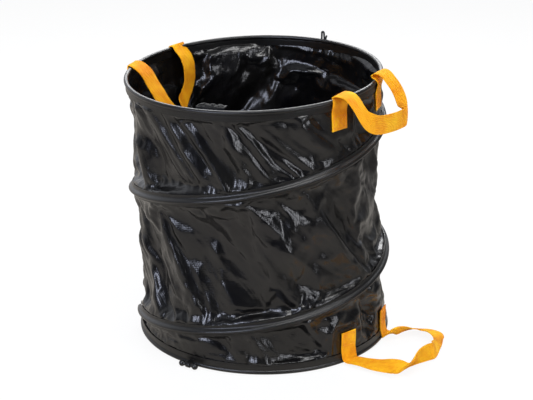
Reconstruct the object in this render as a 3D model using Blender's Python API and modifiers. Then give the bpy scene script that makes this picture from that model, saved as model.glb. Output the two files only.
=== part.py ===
"""Pop up leaf bag: a woven sheet wall on a helical spring wire between two hoops.

Metres, +Z up, origin on the floor at the centre of the bottom panel. The rim stands a little
to one side of the base and a little out of level, as a soft bag does. Angles are counted
anticlockwise from +X as seen from above.
"""
import bpy
import math
from mathutils import Matrix, Vector

MM = 0.001
CLEARANCE = 0.3 * MM
MIDWAY = 0.5

# The bag
bag_height = 434.6 * MM
hoop_radius = 203.5 * MM
rim_shift = -17.3 * MM
rim_tilt = math.radians(2.0)
ring_steps = 48

# Spring wire and its fittings
wire_radius = 1.4 * MM
wire_end_gap = 1.0 * MM
ferrule_wall = 0.6 * MM
ferrule_length = 20.0 * MM
cap_length = 9.0 * MM
cap_floor = 1.5 * MM
joint_step = 12
helix_start_step = 11
helix_step_count = 83
helix_wire_setback = 10.0 * MM

# Cloth and tape
wall_thickness = 0.6 * MM
tape_thickness = 0.8 * MM
rim_flange = 13.5 * MM
sleeve_radius = 3.2 * MM
sleeve_segments = 8
helix_tape_above = 11.0 * MM
helix_tape_below = 8.0 * MM
helix_tape_gap = 1.2 * MM
hump_half_width = 5.2 * MM
hump_shoulder_share = 0.77
hump_crown_share = 0.29
hump_rise_share = 0.68
seam_tape_width = 16.0 * MM
seam_step = 14
panel_thickness = 0.8 * MM
panel_hem = 12.0 * MM

# Webbing handles
webbing_width = 30.0 * MM
webbing_thickness = 1.6 * MM
handle_angle = math.radians(-33.5)
leg_half_span = 60.0 * MM
tab_drop = 47.0 * MM
fold_gap = 1.1 * MM
stitch_length = 22.0 * MM
stitch_height = 16.0 * MM
stitch_width = 1.2 * MM
stitch_thickness = 0.6 * MM
stitch_margin = 4.0 * MM

outer_rise = 12.0 * MM
outer_reach = 42.5 * MM
outer_drop = 62.0 * MM
inner_rise = 5.6 * MM
inner_fold_offset = 3.0 * MM
inner_reach = 64.5 * MM
inner_drop = 90.5 * MM

base_leg_half_span = 57.0 * MM
base_tab_top = 52.0 * MM
base_fold_height = 4.6 * MM
base_fold_offset = 11.5 * MM
base_turn_offset = 7.0 * MM
base_reach = 85.0 * MM
base_side_reach = 57.0 * MM

# Closure toggles and elastic loops
closure_step = 7
toggle_length = 35.0 * MM
toggle_ball_radius = 5.2 * MM
toggle_bar_radius = 3.0 * MM
toggle_bar_half = 8.0 * MM
toggle_steps = 16
toggle_offset = 13.2 * MM
toggle_floor_gap = 0.4 * MM
tether_width = 7.0 * MM
tether_thickness = 1.0 * MM
tether_root_height = 11.2 * MM
tether_eye_start = math.radians(125)
tether_eye_sweep = math.radians(300)
tether_eye_steps = 10
cord_radius = 1.3 * MM
cord_offset = 5.8 * MM
loop_width = 12.0 * MM
loop_length = 20.0 * MM
loop_tab_width = 16.0 * MM
loop_tab_height = 8.0 * MM
loop_tab_thickness = 2.4 * MM
loop_fold_drop = 4.2 * MM

# Sewn-in label tab, bare
label_angle = math.radians(251.0)
label_width = 46.0 * MM
label_length = 20.0 * MM
label_thickness = 0.6 * MM

# Sizes that follow from the ones above
flange_offset = wall_thickness / 2 + CLEARANCE + tape_thickness / 2
sleeve_neck = math.asin(flange_offset / sleeve_radius)
sleeve_turn = 2 * (math.pi - sleeve_neck) / sleeve_segments
sleeve_outer = sleeve_radius + tape_thickness / 2 / math.cos(sleeve_turn / 2)
flange_face = flange_offset + tape_thickness / 2
base_level = sleeve_outer
ferrule_bore = wire_radius + CLEARANCE
ferrule_outer = ferrule_bore + ferrule_wall
wall_edge_gap = ferrule_outer + 2 * CLEARANCE
helix_wire_offset = wall_thickness / 2 + CLEARANCE + ferrule_outer
hump_height = helix_wire_offset + ferrule_outer + CLEARANCE + tape_thickness / 2
tab_wall_offset = wall_thickness / 2 + CLEARANCE + webbing_thickness / 2
tab_roll_offset = sleeve_outer + CLEARANCE + webbing_thickness / 2
step_angle = 2 * math.pi / ring_steps
closure_angle = (closure_step + MIDWAY) * step_angle
facet_radius = hoop_radius * math.cos(step_angle / 2)


def clear_scene():
    for item in list(bpy.data.objects):
        bpy.data.objects.remove(item)


clear_scene()
part_collection = bpy.data.collections.new("pop_up_leaf_bag")
bpy.context.scene.collection.children.link(part_collection)


def make_material(name, colour, roughness, metallic=0.0):
    made = bpy.data.materials.new(name)
    made.use_nodes = True
    shader = made.node_tree.nodes["Principled BSDF"]
    shader.inputs["Base Color"].default_value = (*colour, 1.0)
    shader.inputs["Roughness"].default_value = roughness
    shader.inputs["Metallic"].default_value = metallic
    return made


woven_sheet = make_material("woven_polyethylene_sheet", (0.020, 0.020, 0.021), 0.30)
binding_tape = make_material("polyester_binding_tape", (0.016, 0.015, 0.014), 0.75)
orange_webbing = make_material("orange_webbing", (0.90, 0.36, 0.012), 0.70)
orange_thread = make_material("orange_thread", (0.80, 0.28, 0.010), 0.60)
spring_steel = make_material("spring_steel_wire", (0.42, 0.42, 0.43), 0.30, 1.0)
crimped_steel = make_material("crimped_steel_sleeve", (0.55, 0.55, 0.56), 0.40, 1.0)
black_plastic = make_material("moulded_black_plastic", (0.012, 0.012, 0.013), 0.25)
elastic_cord = make_material("braided_elastic_cord", (0.025, 0.025, 0.026), 0.85)
label_cloth = make_material("grey_label_cloth", (0.10, 0.10, 0.105), 0.60)


def add_empty(name, matrix, parent=None):
    made = bpy.data.objects.new(name, None)
    part_collection.objects.link(made)
    made.parent = parent
    made.matrix_local = matrix
    return made


def add_object(name, data, finish, parent=None, matrix=None):
    made = bpy.data.objects.new(name, data)
    part_collection.objects.link(made)
    data.materials.append(finish)
    made.parent = parent
    if matrix is not None:
        made.matrix_local = matrix
    return made


def mesh_from(name, points, edges, faces):
    data = bpy.data.meshes.new(name)
    data.from_pydata([tuple(point) for point in points], edges, faces)
    data.update()
    return data


def smooth(item, angle=math.radians(35)):
    item.data.shade_smooth()
    item.data.set_sharp_from_angle(angle=angle)


def solidify(item, thickness):
    shell = item.modifiers.new("thickness", "SOLIDIFY")
    shell.thickness = thickness
    shell.offset = 0.0
    shell.use_even_offset = True


def turn(item, steps=ring_steps):
    screw = item.modifiers.new("turned", "SCREW")
    screw.axis = "Z"
    screw.angle = 2 * math.pi
    screw.steps = steps
    screw.render_steps = steps
    screw.use_merge_vertices = True
    screw.merge_threshold = MM / 20
    screw.use_smooth_shade = True


def turned_shell(name, chain, thickness, finish, parent, matrix=None):
    """Turns an open chain of (radius, height) points and gives the surface a thickness."""
    points = [(radius, 0.0, height) for radius, height in chain]
    edges = [(index, index + 1) for index in range(len(points) - 1)]
    item = add_object(name, mesh_from(name, points, edges, []), finish, parent, matrix)
    turn(item)
    solidify(item, thickness)
    return item


def strip(name, sections, thickness, finish, parent, matrix=None):
    """Makes a flat strap from (centre, half width vector) sections."""
    points = []
    for centre, half in sections:
        points.append(centre - half)
        points.append(centre + half)
    faces = []
    for index in range(len(sections) - 1):
        corner = 2 * index
        faces.append((corner, corner + 1, corner + 3, corner + 2))
    item = add_object(name, mesh_from(name, points, [], faces), finish, parent, matrix)
    solidify(item, thickness)
    smooth(item)
    return item


def wire(name, points, radius, finish, parent, matrix=None, sides=2):
    """A round wire along a chain of points, with filled ends."""
    curve = bpy.data.curves.new(name, "CURVE")
    curve.dimensions = "3D"
    curve.bevel_depth = radius
    curve.bevel_resolution = sides
    curve.use_fill_caps = True
    path = curve.splines.new("POLY")
    path.points.add(len(points) - 1)
    for target, point in zip(path.points, points):
        target.co = (*point, 1.0)
    return add_object(name, curve, finish, parent, matrix)


def smooth_route(points, pieces):
    """Reads a smooth line through the given points, with some pieces between each two."""
    ends = [points[0]] + list(points) + [points[-1]]
    route = []
    for index in range(len(points) - 1):
        before, start, end, after = ends[index:index + 4]
        for piece in range(pieces):
            share = piece / pieces
            route.append(0.5 * (2 * start + (end - before) * share
                                + (2 * before - 5 * start + 4 * end - after) * share ** 2
                                + (3 * start - before - 3 * end + after) * share ** 3))
    route.append(points[-1])
    return route


# Frames: base_frame is level on the floor, rim_frame is at the top hoop's centre
rim_matrix = Matrix.Translation((rim_shift, 0.0, bag_height)) @ Matrix.Rotation(-rim_tilt, 4, "Y")
base_frame = add_empty("base_frame", Matrix())
rim_frame = add_empty("rim_frame", rim_matrix)


def radial(angle):
    return Vector((math.cos(angle), math.sin(angle), 0.0))


def around(angle):
    return Vector((-math.sin(angle), math.cos(angle), 0.0))


up = Vector((0.0, 0.0, 1.0))


def side_matrix(angle, distance, height):
    """A frame whose X runs round the hoop, Y points out from the bag's axis and Z is up."""
    matrix = Matrix((-around(angle), radial(angle), up)).transposed().to_4x4()
    matrix.translation = radial(angle) * distance + up * height
    return matrix


def inside_gap(width):
    """How far a flat piece of this width stands in from the hoop's radius when its edges meet the
    facets."""
    return hoop_radius - math.sqrt(facet_radius ** 2 - (width / 2) ** 2)


def ring_point(step, radius, height):
    return radial(step * step_angle) * radius + up * height


# Hoops: an open wire whose two ends meet in a crimped sleeve, on a straight of the ring
def hoop(name, parent, level):
    start = ring_point(joint_step, hoop_radius, level)
    end = ring_point(joint_step + 1, hoop_radius, level)
    middle = (start + end) * MIDWAY
    along = (end - start).normalized()
    points = [middle + along * wire_end_gap / 2]
    points += [ring_point(joint_step + 1 + step, hoop_radius, level) for step in range(ring_steps)]
    points.append(middle - along * wire_end_gap / 2)
    wire(name + "_wire", points, wire_radius, spring_steel, parent)
    outside = math.atan2(middle.y, middle.x)
    turned_tube(name + "_sleeve", parent, Matrix.Translation(middle)
                @ Matrix.Rotation(outside, 4, "Z") @ Matrix.Rotation(math.pi / 2, 4, "X"))


def turned_tube(name, parent, matrix, steps=12):
    half = ferrule_length / 2
    corners = [(ferrule_outer, half), (ferrule_outer, -half), (ferrule_bore, -half), (ferrule_bore, half)]
    points = [(radius, 0.0, height) for radius, height in corners]
    edges = [(index, (index + 1) % len(points)) for index in range(len(points))]
    item = add_object(name, mesh_from(name, points, edges, []), crimped_steel, parent, matrix)
    turn(item, steps)
    return item


hoop("top_hoop", rim_frame, 0.0)
hoop("bottom_hoop", base_frame, base_level)


# Rim bindings: a tape folded round the hoop, its two flanges sewn either side of the wall
def binding_chain(level, side):
    """side is -1 for a tape that hangs from its hoop and 1 for one that stands on it."""
    chain = [(hoop_radius + flange_offset, level + side * rim_flange)]
    for index in range(sleeve_segments + 1):
        angle = sleeve_neck + sleeve_turn * index
        chain.append((hoop_radius + sleeve_radius * math.sin(angle),
                      level + side * sleeve_radius * math.cos(angle)))
    chain.append((hoop_radius - flange_offset, level + side * rim_flange))
    return chain


turned_shell("top_rim_binding", binding_chain(0.0, -1), tape_thickness, binding_tape, rim_frame)
turned_shell("bottom_rim_binding", binding_chain(base_level, 1), tape_thickness, binding_tape, base_frame)

# Bottom panel: a disc on the floor whose hem turns up inside the binding
hem_foot = hoop_radius - sleeve_outer - CLEARANCE - panel_thickness / 2
hem_top = hoop_radius - flange_face - CLEARANCE - panel_thickness / 2
panel_level = panel_thickness / 2
turned_shell("bottom_panel", [(hem_top, panel_level + panel_hem + base_level),
                              (hem_top, base_level + sleeve_outer + tape_thickness),
                              (hem_foot, base_level + sleeve_radius / 2), (hem_foot, panel_level),
                              (0.0, panel_level)],
             panel_thickness, woven_sheet, base_frame)

# Wall: ruled between the two rings of stitches, its edges held between the binding's flanges
wall_low = base_level + rim_flange
wall_levels = [(False, base_level + wall_edge_gap), (False, wall_low),
               (True, -rim_flange), (True, -wall_edge_gap)]


def wall_ring_point(angle, on_rim, height, offset=0.0):
    point = radial(angle) * (hoop_radius + offset) + up * height
    return rim_matrix @ point if on_rim else point


def wall_point(angle, share, offset=0.0):
    """A point of the free wall: share is 0 at the bottom binding and 1 at the rim binding."""
    low = wall_ring_point(angle, False, wall_low, offset)
    high = wall_ring_point(angle, True, -rim_flange, offset)
    return low.lerp(high, share)


wall_points = []
for on_rim, height in wall_levels:
    wall_points += [wall_ring_point(step * step_angle, on_rim, height) for step in range(ring_steps)]
wall_faces = []
for level in range(len(wall_levels) - 1):
    for step in range(ring_steps):
        low = level * ring_steps
        following = (step + 1) % ring_steps
        wall_faces.append((low + step, low + following, low + ring_steps + following, low + ring_steps + step))
wall = add_object("wall_sheet", mesh_from("wall_sheet", wall_points, [], wall_faces), woven_sheet, base_frame)
solidify(wall, wall_thickness)
smooth(wall)

# Seam tape inside the wall, where the sheet's two ends are sewn together
seam_offset = -(wall_thickness + tape_thickness) / 2 - CLEARANCE
seam_bottom = (base_level + rim_flange + seam_tape_width / 2 - wall_low) / bag_height
seam_angle = (seam_step + MIDWAY) * step_angle
seam_half = around(seam_angle) * seam_tape_width / 2
seam_sections = []
for share in (seam_bottom, 1 - seam_bottom):
    seam_sections.append((wall_point(seam_angle, share, seam_offset - inside_gap(0.0)), seam_half))
strip("wall_seam_tape", seam_sections, tape_thickness, binding_tape, base_frame)

# Helix: the wire runs clockwise down the outside of the wall, under a sewn tape
free_height = bag_height - rim_flange - wall_low
helix_high = 1 - (helix_tape_gap + helix_tape_above) / free_height
helix_low = (helix_tape_gap + helix_tape_below) / free_height


def helix_point(travel, offset, lift):
    """travel is 0 at the top end and 1 at the bottom end, lift is up the wall from the wire."""
    angle = (helix_start_step - travel * helix_step_count) * step_angle
    share = helix_high + (helix_low - helix_high) * travel + lift / free_height
    return wall_point(angle, share, offset)


hump_shoulder = hump_half_width * hump_shoulder_share
hump_crown = hump_half_width * hump_crown_share
hump_rise = flange_offset + (hump_height - flange_offset) * hump_rise_share
helix_profile = [(helix_tape_above, flange_offset), (hump_half_width, flange_offset),
                 (hump_shoulder, hump_rise), (hump_crown, hump_height), (-hump_crown, hump_height),
                 (-hump_shoulder, hump_rise), (-hump_half_width, flange_offset),
                 (-helix_tape_below, flange_offset)]
tape_points = []
for step in range(helix_step_count + 1):
    for lift, offset in helix_profile:
        tape_points.append(helix_point(step / helix_step_count, offset, lift))
tape_faces = []
across = len(helix_profile)
for step in range(helix_step_count):
    for index in range(across - 1):
        corner = step * across + index
        tape_faces.append((corner, corner + 1, corner + across + 1, corner + across))
helix_tape = add_object("helix_binding", mesh_from("helix_binding", tape_points, [], tape_faces),
                        binding_tape, base_frame)
solidify(helix_tape, tape_thickness)
smooth(helix_tape)

setback_share = helix_wire_setback / (hoop_radius * step_angle)
helix_route = [helix_point(step / helix_step_count, helix_wire_offset, 0.0)
               for step in range(helix_step_count + 1)]
helix_route[0] = helix_route[0].lerp(helix_route[1], setback_share)
helix_route[-1] = helix_route[-1].lerp(helix_route[-2], setback_share)
wire("helix_spring_wire", helix_route, wire_radius, spring_steel, base_frame)


def wire_cap(name, end, inward):
    """A moulded cap on a wire end: a tube with a closed floor just past the end."""
    along = (end - inward).normalized()
    matrix = along.to_track_quat("Z", "Y").to_matrix().to_4x4()
    matrix.translation = end
    floor = CLEARANCE + cap_floor
    corners = [(0.0, floor), (ferrule_outer, floor), (ferrule_outer, floor - cap_length),
               (ferrule_bore, floor - cap_length), (ferrule_bore, CLEARANCE), (0.0, CLEARANCE)]
    points = [(radius, 0.0, height) for radius, height in corners]
    edges = [(index, index + 1) for index in range(len(points) - 1)]
    item = add_object(name, mesh_from(name, points, edges, []), black_plastic, base_frame, matrix)
    turn(item, 12)


wire_cap("helix_wire_cap_top", helix_route[0], helix_route[1])
wire_cap("helix_wire_cap_bottom", helix_route[-1], helix_route[-2])


# Handles: each a length of webbing. Two tabs are sewn to the bag, and the loop between them folds
def route_sections(route_shares, span, reach, height):
    """Turns a table of shares into strap sections in a handle's own frame."""
    places = [Vector((row[0] * span, row[1] * reach, row[2] * height)) for row in route_shares]
    widths = [Vector(row[3:]) * webbing_width / 2 for row in route_shares]
    return list(zip(smooth_route(places, 2), smooth_route(widths, 2)))


# Columns: along the span, out from the fold, up from the fold, then the half width's direction.
# X runs clockwise round the hoop, so the near leg of the outer handle is at +X.
outer_handle_shares = [
    (1.00, 0.00, 0.00, 1.00, 0.00, 0.00),
    (1.00, 0.19, 0.00, 1.00, 0.00, 0.00),
    (1.00, 0.38, -0.10, 1.00, 0.00, 0.00),
    (1.00, 0.58, -0.28, 1.00, 0.00, 0.00),
    (1.00, 0.78, -0.48, 0.98, 0.10, -0.10),
    (0.95, 0.90, -0.62, 0.87, 0.10, -0.45),
    (0.80, 0.97, -0.73, 0.65, 0.05, -0.75),
    (0.55, 1.00, -0.80, 0.30, 0.00, -0.95),
    (0.20, 1.01, -0.85, 0.05, 0.00, -1.00),
    (-0.20, 1.01, -0.91, 0.00, 0.00, -1.00),
    (-0.60, 0.99, -0.96, -0.05, 0.00, -1.02),
    (-0.90, 0.91, -1.00, -0.78, 0.25, -1.00),
    (-0.98, 0.80, -0.74, -1.00, 0.00, -0.05),
    (-0.98, 0.62, -0.42, -1.00, 0.00, 0.00),
    (-0.99, 0.40, -0.14, -1.00, 0.00, 0.00),
    (-1.00, 0.19, -0.02, -1.00, 0.00, 0.00),
    (-1.00, 0.00, 0.00, -1.00, 0.00, 0.00),
]
inner_handle_shares = [
    (-1.00, 0.00, 0.00, -1.00, 0.00, 0.00),
    (-1.00, -0.15, -0.02, -1.00, 0.00, 0.00),
    (-1.00, -0.32, -0.07, -1.00, 0.00, 0.00),
    (-1.00, -0.53, -0.17, -1.00, 0.00, 0.00),
    (-1.00, -0.69, -0.33, -1.00, 0.00, 0.00),
    (-0.98, -0.90, -0.50, -1.00, 0.00, -0.10),
    (-0.88, -1.00, -0.66, -0.88, 0.00, -0.45),
    (-0.62, -1.02, -0.82, -0.58, 0.00, -0.82),
    (-0.25, -0.95, -0.92, -0.18, 0.00, -0.98),
    (0.15, -0.80, -0.93, 0.15, 0.00, -0.98),
    (0.45, -0.66, -0.86, 0.48, 0.00, -0.88),
    (0.78, -0.56, -0.74, 0.85, 0.00, -0.60),
    (0.97, -0.51, -0.62, 1.00, 0.00, -0.20),
    (1.00, -0.50, -0.45, 1.00, 0.00, 0.00),
    (1.00, -0.49, -0.30, 1.00, 0.00, 0.00),
    (1.00, -0.36, -0.13, 1.00, 0.00, 0.00),
    (1.00, -0.16, -0.02, 1.00, 0.00, 0.00),
    (1.00, 0.00, 0.00, 1.00, 0.00, 0.00),
]
base_handle_shares = [
    (1.00, 0.00, 0.00, 1.00, 0.00, 0.00),
    (0.99, 0.07, -0.60, 1.00, 0.00, 0.00),
    (0.95, 0.18, -0.70, 0.99, 0.10, -0.03),
    (0.88, 0.35, -0.40, 0.97, 0.28, -0.09),
    (0.80, 0.58, -0.18, 1.00, 0.30, -0.15),
    (0.63, 0.86, 0.42, 1.15, -0.20, -0.30),
    (0.22, 0.93, 0.62, 0.45, 0.90, -0.36),
    (-0.25, 0.97, 0.45, 0.15, 0.95, -0.30),
    (-0.80, 0.93, 0.15, 0.10, 0.98, -0.23),
    (-1.35, 0.82, -0.35, -0.20, 0.96, -0.08),
    (-1.82, 0.62, -0.15, -0.88, 0.55, -0.12),
    (-1.82, 0.32, 0.60, -0.86, -0.35, -0.35),
    (-1.45, 0.15, 0.50, -0.88, -0.38, -0.30),
    (-1.15, 0.07, -0.15, -0.98, -0.15, -0.10),
    (-1.02, 0.03, -0.30, -1.00, 0.00, 0.00),
    (-1.00, 0.00, 0.00, -1.00, 0.00, 0.00),
]


def webbing_tab(name, parent, angle, centre_angle, chain):
    """A sewn tab: chain holds (distance from the axis, height, turn) from its foot to its fold.
    A turn of 0 lies along the wall and 1 along the handle's straight fold."""
    sections = []
    for distance, height, turn_share in chain:
        facing = angle + (centre_angle - angle) * turn_share
        sections.append((radial(angle) * distance + up * height, around(facing) * webbing_width / 2))
    strip(name, sections, webbing_thickness, orange_webbing, parent)


def stitching(name, parent, angle, foot, distance):
    """A box of thread on a tab, with its lower row at the given height over the tab's foot."""
    low = foot + stitch_margin
    middle = radial(angle) * distance + up * (low + stitch_height / 2)
    points = []
    for inset in (0.0, stitch_width):
        for side, lift in ((-1, -1), (1, -1), (1, 1), (-1, 1)):
            points.append(middle + around(angle) * side * (stitch_length / 2 - inset)
                          + up * lift * (stitch_height / 2 - inset))
    faces = [(side, (side + 1) % 4, 4 + (side + 1) % 4, 4 + side) for side in range(4)]
    item = add_object(name, mesh_from(name, points, [], faces), orange_thread, parent)
    solidify(item, stitch_thickness)


def leg_angles(centre_angle, half_span, distance):
    lean = math.asin(half_span / distance)
    return centre_angle - lean, centre_angle + lean


# The fold of each handle is a straight line between its legs, at this distance from the axis
def fold_distance(leg_distance, half_span):
    return math.sqrt(leg_distance ** 2 - half_span ** 2)


tab_wall_distance = hoop_radius + tab_wall_offset
tab_roll_distance = hoop_radius + tab_roll_offset
stitch_distance = tab_wall_distance + (webbing_thickness + stitch_thickness) / 2 + CLEARANCE
flange_foot = rim_flange + 2 * webbing_thickness
roll_top = sleeve_outer + CLEARANCE + webbing_thickness

outer_leg = tab_roll_distance + webbing_thickness / 2
inner_leg = hoop_radius - inner_fold_offset
base_leg = hoop_radius + base_fold_offset

outer_chain = [(tab_wall_distance, -tab_drop, 0.0), (tab_wall_distance, -flange_foot, 0.0),
               (tab_roll_distance, -sleeve_outer, 0.0), (tab_roll_distance, sleeve_outer, 0.0),
               (outer_leg, outer_rise - fold_gap, 1.0)]
inner_chain = [(tab_wall_distance, -tab_drop, 0.0), (tab_wall_distance, -flange_foot, 0.0),
               (tab_roll_distance, -sleeve_outer, 0.0), (tab_roll_distance, sleeve_radius / 2, 0.0),
               (tab_roll_distance - webbing_thickness, roll_top - webbing_thickness / 2, 0.25),
               (hoop_radius + webbing_thickness / 2, inner_rise, 0.6),
               (inner_leg + fold_gap, inner_rise, 1.0)]
base_chain = [(tab_wall_distance, base_tab_top, 0.0), (tab_wall_distance, base_level + flange_foot, 0.0),
              (tab_roll_distance, base_level + sleeve_outer, 0.0),
              (hoop_radius + base_turn_offset, base_fold_height, 0.5),
              (base_leg - fold_gap, base_fold_height, 1.0)]

handle_sides = (
    ("right_handle", handle_angle, outer_chain, outer_handle_shares, outer_leg, outer_rise,
     outer_reach, outer_drop),
    ("left_handle", handle_angle + math.pi, inner_chain, inner_handle_shares, inner_leg, inner_rise,
     inner_reach, inner_drop),
)
for name, angle, chain, shares, leg, rise, reach, drop in handle_sides:
    legs = leg_angles(angle, leg_half_span, leg)
    for place, leg_angle in zip(("front", "rear"), legs if name == "right_handle" else legs[::-1]):
        webbing_tab(name + "_tab_" + place, rim_frame, leg_angle, angle, chain)
        stitching(name + "_stitching_" + place, rim_frame, leg_angle, -tab_drop, stitch_distance)
    fold = add_empty(name + "_fold", side_matrix(angle, fold_distance(leg, leg_half_span), rise), rim_frame)
    strip(name + "_loop", route_sections(shares, leg_half_span, reach, drop), webbing_thickness,
          orange_webbing, fold)

# The handle at the foot of the bag lies on the floor
base_legs = leg_angles(handle_angle, base_leg_half_span, base_leg)
for place, leg_angle in zip(("front", "rear"), base_legs):
    webbing_tab("bottom_handle_tab_" + place, base_frame, leg_angle, handle_angle, base_chain)
    stitching("bottom_handle_stitching_" + place, base_frame, leg_angle,
              base_tab_top - 2 * stitch_margin - stitch_height, stitch_distance)
base_fold = add_empty("bottom_handle_fold",
                      side_matrix(handle_angle, fold_distance(base_leg, base_leg_half_span),
                                  base_fold_height), base_frame)
strip("bottom_handle_loop", route_sections(base_handle_shares, base_side_reach, base_reach,
                                           base_fold_height), webbing_thickness, orange_webbing, base_fold)


# Closures: a toggle on a short tether at the foot of the bag, under an elastic loop on the rim
def toggle(name, angle):
    level = toggle_floor_gap + toggle_ball_radius
    root_offset = flange_face + CLEARANCE + tether_thickness / 2 - inside_gap(0.0)
    root = side_matrix(angle, hoop_radius + root_offset, tether_root_height)
    pivot = add_empty(name + "_tether_pivot", root, base_frame)
    bar = Vector((0.0, toggle_offset - root_offset, level - tether_root_height))
    eye = toggle_bar_radius + CLEARANCE + tether_thickness / 2
    half = Vector((tether_width / 2, 0.0, 0.0))
    chain = [Vector()]
    for index in range(tether_eye_steps + 1):
        swing = tether_eye_start - tether_eye_sweep * index / tether_eye_steps
        chain.append(bar + Vector((0.0, math.cos(swing), math.sin(swing))) * eye)
    strip(name + "_tether", [(point, half) for point in chain], tether_thickness, binding_tape, pivot)
    across_bag = Matrix.Translation(bar) @ Matrix.Rotation(math.pi / 2, 4, "Y")
    spin = add_empty(name + "_toggle_pivot", across_bag, pivot)
    profile = [(0.0, toggle_length / 2)]
    ball = toggle_length / 2 - toggle_ball_radius
    for index in range(1, 6):
        swing = math.pi / 2 - index * math.radians(130) / 5
        profile.append((toggle_ball_radius * math.cos(swing), ball + toggle_ball_radius * math.sin(swing)))
    profile.append((toggle_bar_radius, toggle_bar_half))
    profile += [(radius, -height) for radius, height in reversed(profile)]
    points = [(radius, 0.0, height) for radius, height in profile]
    edges = [(index, index + 1) for index in range(len(points) - 1)]
    item = add_object(name + "_toggle", mesh_from(name + "_toggle", points, edges, []),
                      black_plastic, spin)
    turn(item, toggle_steps)


toggle("front_closure", closure_angle + math.pi)
toggle("rear_closure", closure_angle)


def elastic_loop(name, angle, side, rise):
    """side is 1 outside the rim and -1 inside it, rise is 1 for a loop that stands and -1 for one
    that hangs."""
    facet_gap = 0.0 if side > 0 else inside_gap(loop_tab_width)
    tab_distance = hoop_radius + side * (flange_face + CLEARANCE + loop_tab_thickness / 2 + facet_gap)
    half = around(angle) * loop_tab_width / 2
    top = -loop_fold_drop - CLEARANCE
    sections = [(radial(angle) * tab_distance + up * height, half)
                for height in (top - loop_tab_height, top)]
    strip(name + "_tab", sections, loop_tab_thickness, binding_tape, rim_frame)
    cord_distance = hoop_radius + side * (cord_offset + facet_gap)
    fold = add_empty(name + "_pivot", side_matrix(angle, cord_distance, -loop_fold_drop), rim_frame)
    leg = loop_width / 2 - cord_radius
    points = [Vector((-leg, 0.0, 0.0))]
    bends = 10
    for index in range(bends + 1):
        swing = math.pi - index * math.pi / bends
        points.append(Vector((leg * math.cos(swing), 0.0,
                              rise * (loop_length - loop_width / 2 + leg * math.sin(swing)))))
    points.append(Vector((leg, 0.0, 0.0)))
    wire(name, points, cord_radius, elastic_cord, fold)


elastic_loop("front_elastic_loop", closure_angle + math.pi, -1, -1)
elastic_loop("rear_elastic_loop", closure_angle, 1, 1)

# Label tab: sewn to the inside of the rim, it leans in over the bag's mouth
label_root = hoop_radius - sleeve_outer - CLEARANCE - label_thickness / 2 - inside_gap(label_width)
label_half = around(label_angle) * label_width / 2
label_lean = radial(label_angle) * -1.0
label_chain = [label_root * radial(label_angle) - up * sleeve_outer,
               label_root * radial(label_angle) + up * sleeve_outer / 2,
               label_root * radial(label_angle) + label_lean * label_length / 2 + up * 2 * sleeve_outer,
               label_root * radial(label_angle) + label_lean * label_length + up * sleeve_outer]
strip("label_tab", [(point, label_half) for point in label_chain], label_thickness, label_cloth, rim_frame)
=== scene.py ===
"""The look of the pop up leaf bag: its cloth, tapes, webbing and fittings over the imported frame.

Metres. Angles are counted anticlockwise from +X as seen from above. A share along the wall is 0
at the bottom binding and 1 at the rim binding.
"""
import bpy
import math
from mathutils import Matrix, Vector, noise


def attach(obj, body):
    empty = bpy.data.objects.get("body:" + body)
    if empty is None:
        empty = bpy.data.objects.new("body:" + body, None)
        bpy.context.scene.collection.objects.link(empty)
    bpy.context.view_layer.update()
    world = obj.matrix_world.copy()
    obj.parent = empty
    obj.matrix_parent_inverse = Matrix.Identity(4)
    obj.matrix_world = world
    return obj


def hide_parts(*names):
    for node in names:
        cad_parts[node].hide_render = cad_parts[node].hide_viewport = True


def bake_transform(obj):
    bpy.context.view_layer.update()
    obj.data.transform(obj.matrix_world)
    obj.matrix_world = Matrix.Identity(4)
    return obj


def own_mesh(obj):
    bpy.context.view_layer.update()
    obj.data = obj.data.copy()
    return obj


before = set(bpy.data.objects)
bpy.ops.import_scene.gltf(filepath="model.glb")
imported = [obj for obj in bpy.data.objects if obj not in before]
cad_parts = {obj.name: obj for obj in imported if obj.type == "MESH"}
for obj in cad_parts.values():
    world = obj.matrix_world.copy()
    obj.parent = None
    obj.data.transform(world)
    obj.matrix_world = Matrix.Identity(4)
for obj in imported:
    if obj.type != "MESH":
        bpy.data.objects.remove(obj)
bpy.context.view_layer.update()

MM = 0.001

# The bag, as in the frame
bag_height = 434.6 * MM
hoop_radius = 203.5 * MM
rim_shift = -17.3 * MM
rim_tilt = math.radians(2.0)
ring_steps = 48
step_angle = 2 * math.pi / ring_steps
sleeve_radius = 3.2 * MM
sleeve_outer = 3.63 * MM
base_level = sleeve_outer
flange = 13.5 * MM
wire_clearance = 0.3 * MM
helix_start_step = 11
helix_step_count = 83
helix_tape_above = 11.0 * MM
helix_tape_below = 8.0 * MM
helix_tape_gap = 1.2 * MM
helix_stand = 4.9 * MM
helix_roll = 3.6 * MM
tape_thickness = 0.8 * MM
wall_thickness = 0.6 * MM
tape_stand = wall_thickness / 2 + wire_clearance + tape_thickness / 2
webbing_width = 30.0 * MM
webbing_thickness = 1.6 * MM

wall_low = base_level + flange
free_height = bag_height - flange - wall_low
helix_high = 1 - (helix_tape_gap + helix_tape_above) / free_height
helix_low = (helix_tape_gap + helix_tape_below) / free_height

up = Vector((0.0, 0.0, 1.0))
rim_matrix = Matrix.Translation((rim_shift, 0.0, bag_height)) @ Matrix.Rotation(-rim_tilt, 4, "Y")
level_matrix = Matrix()


def radial(angle):
    return Vector((math.cos(angle), math.sin(angle), 0.0))


def around(angle):
    return Vector((-math.sin(angle), math.cos(angle), 0.0))


def ease(value):
    """Goes smoothly from 0 to 1 as the value does."""
    value = min(1.0, max(0.0, value))
    return value * value * (3 - 2 * value)


# Modelling


# Points nearer than this are one
weld_gap = 0.01 * MM


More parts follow.
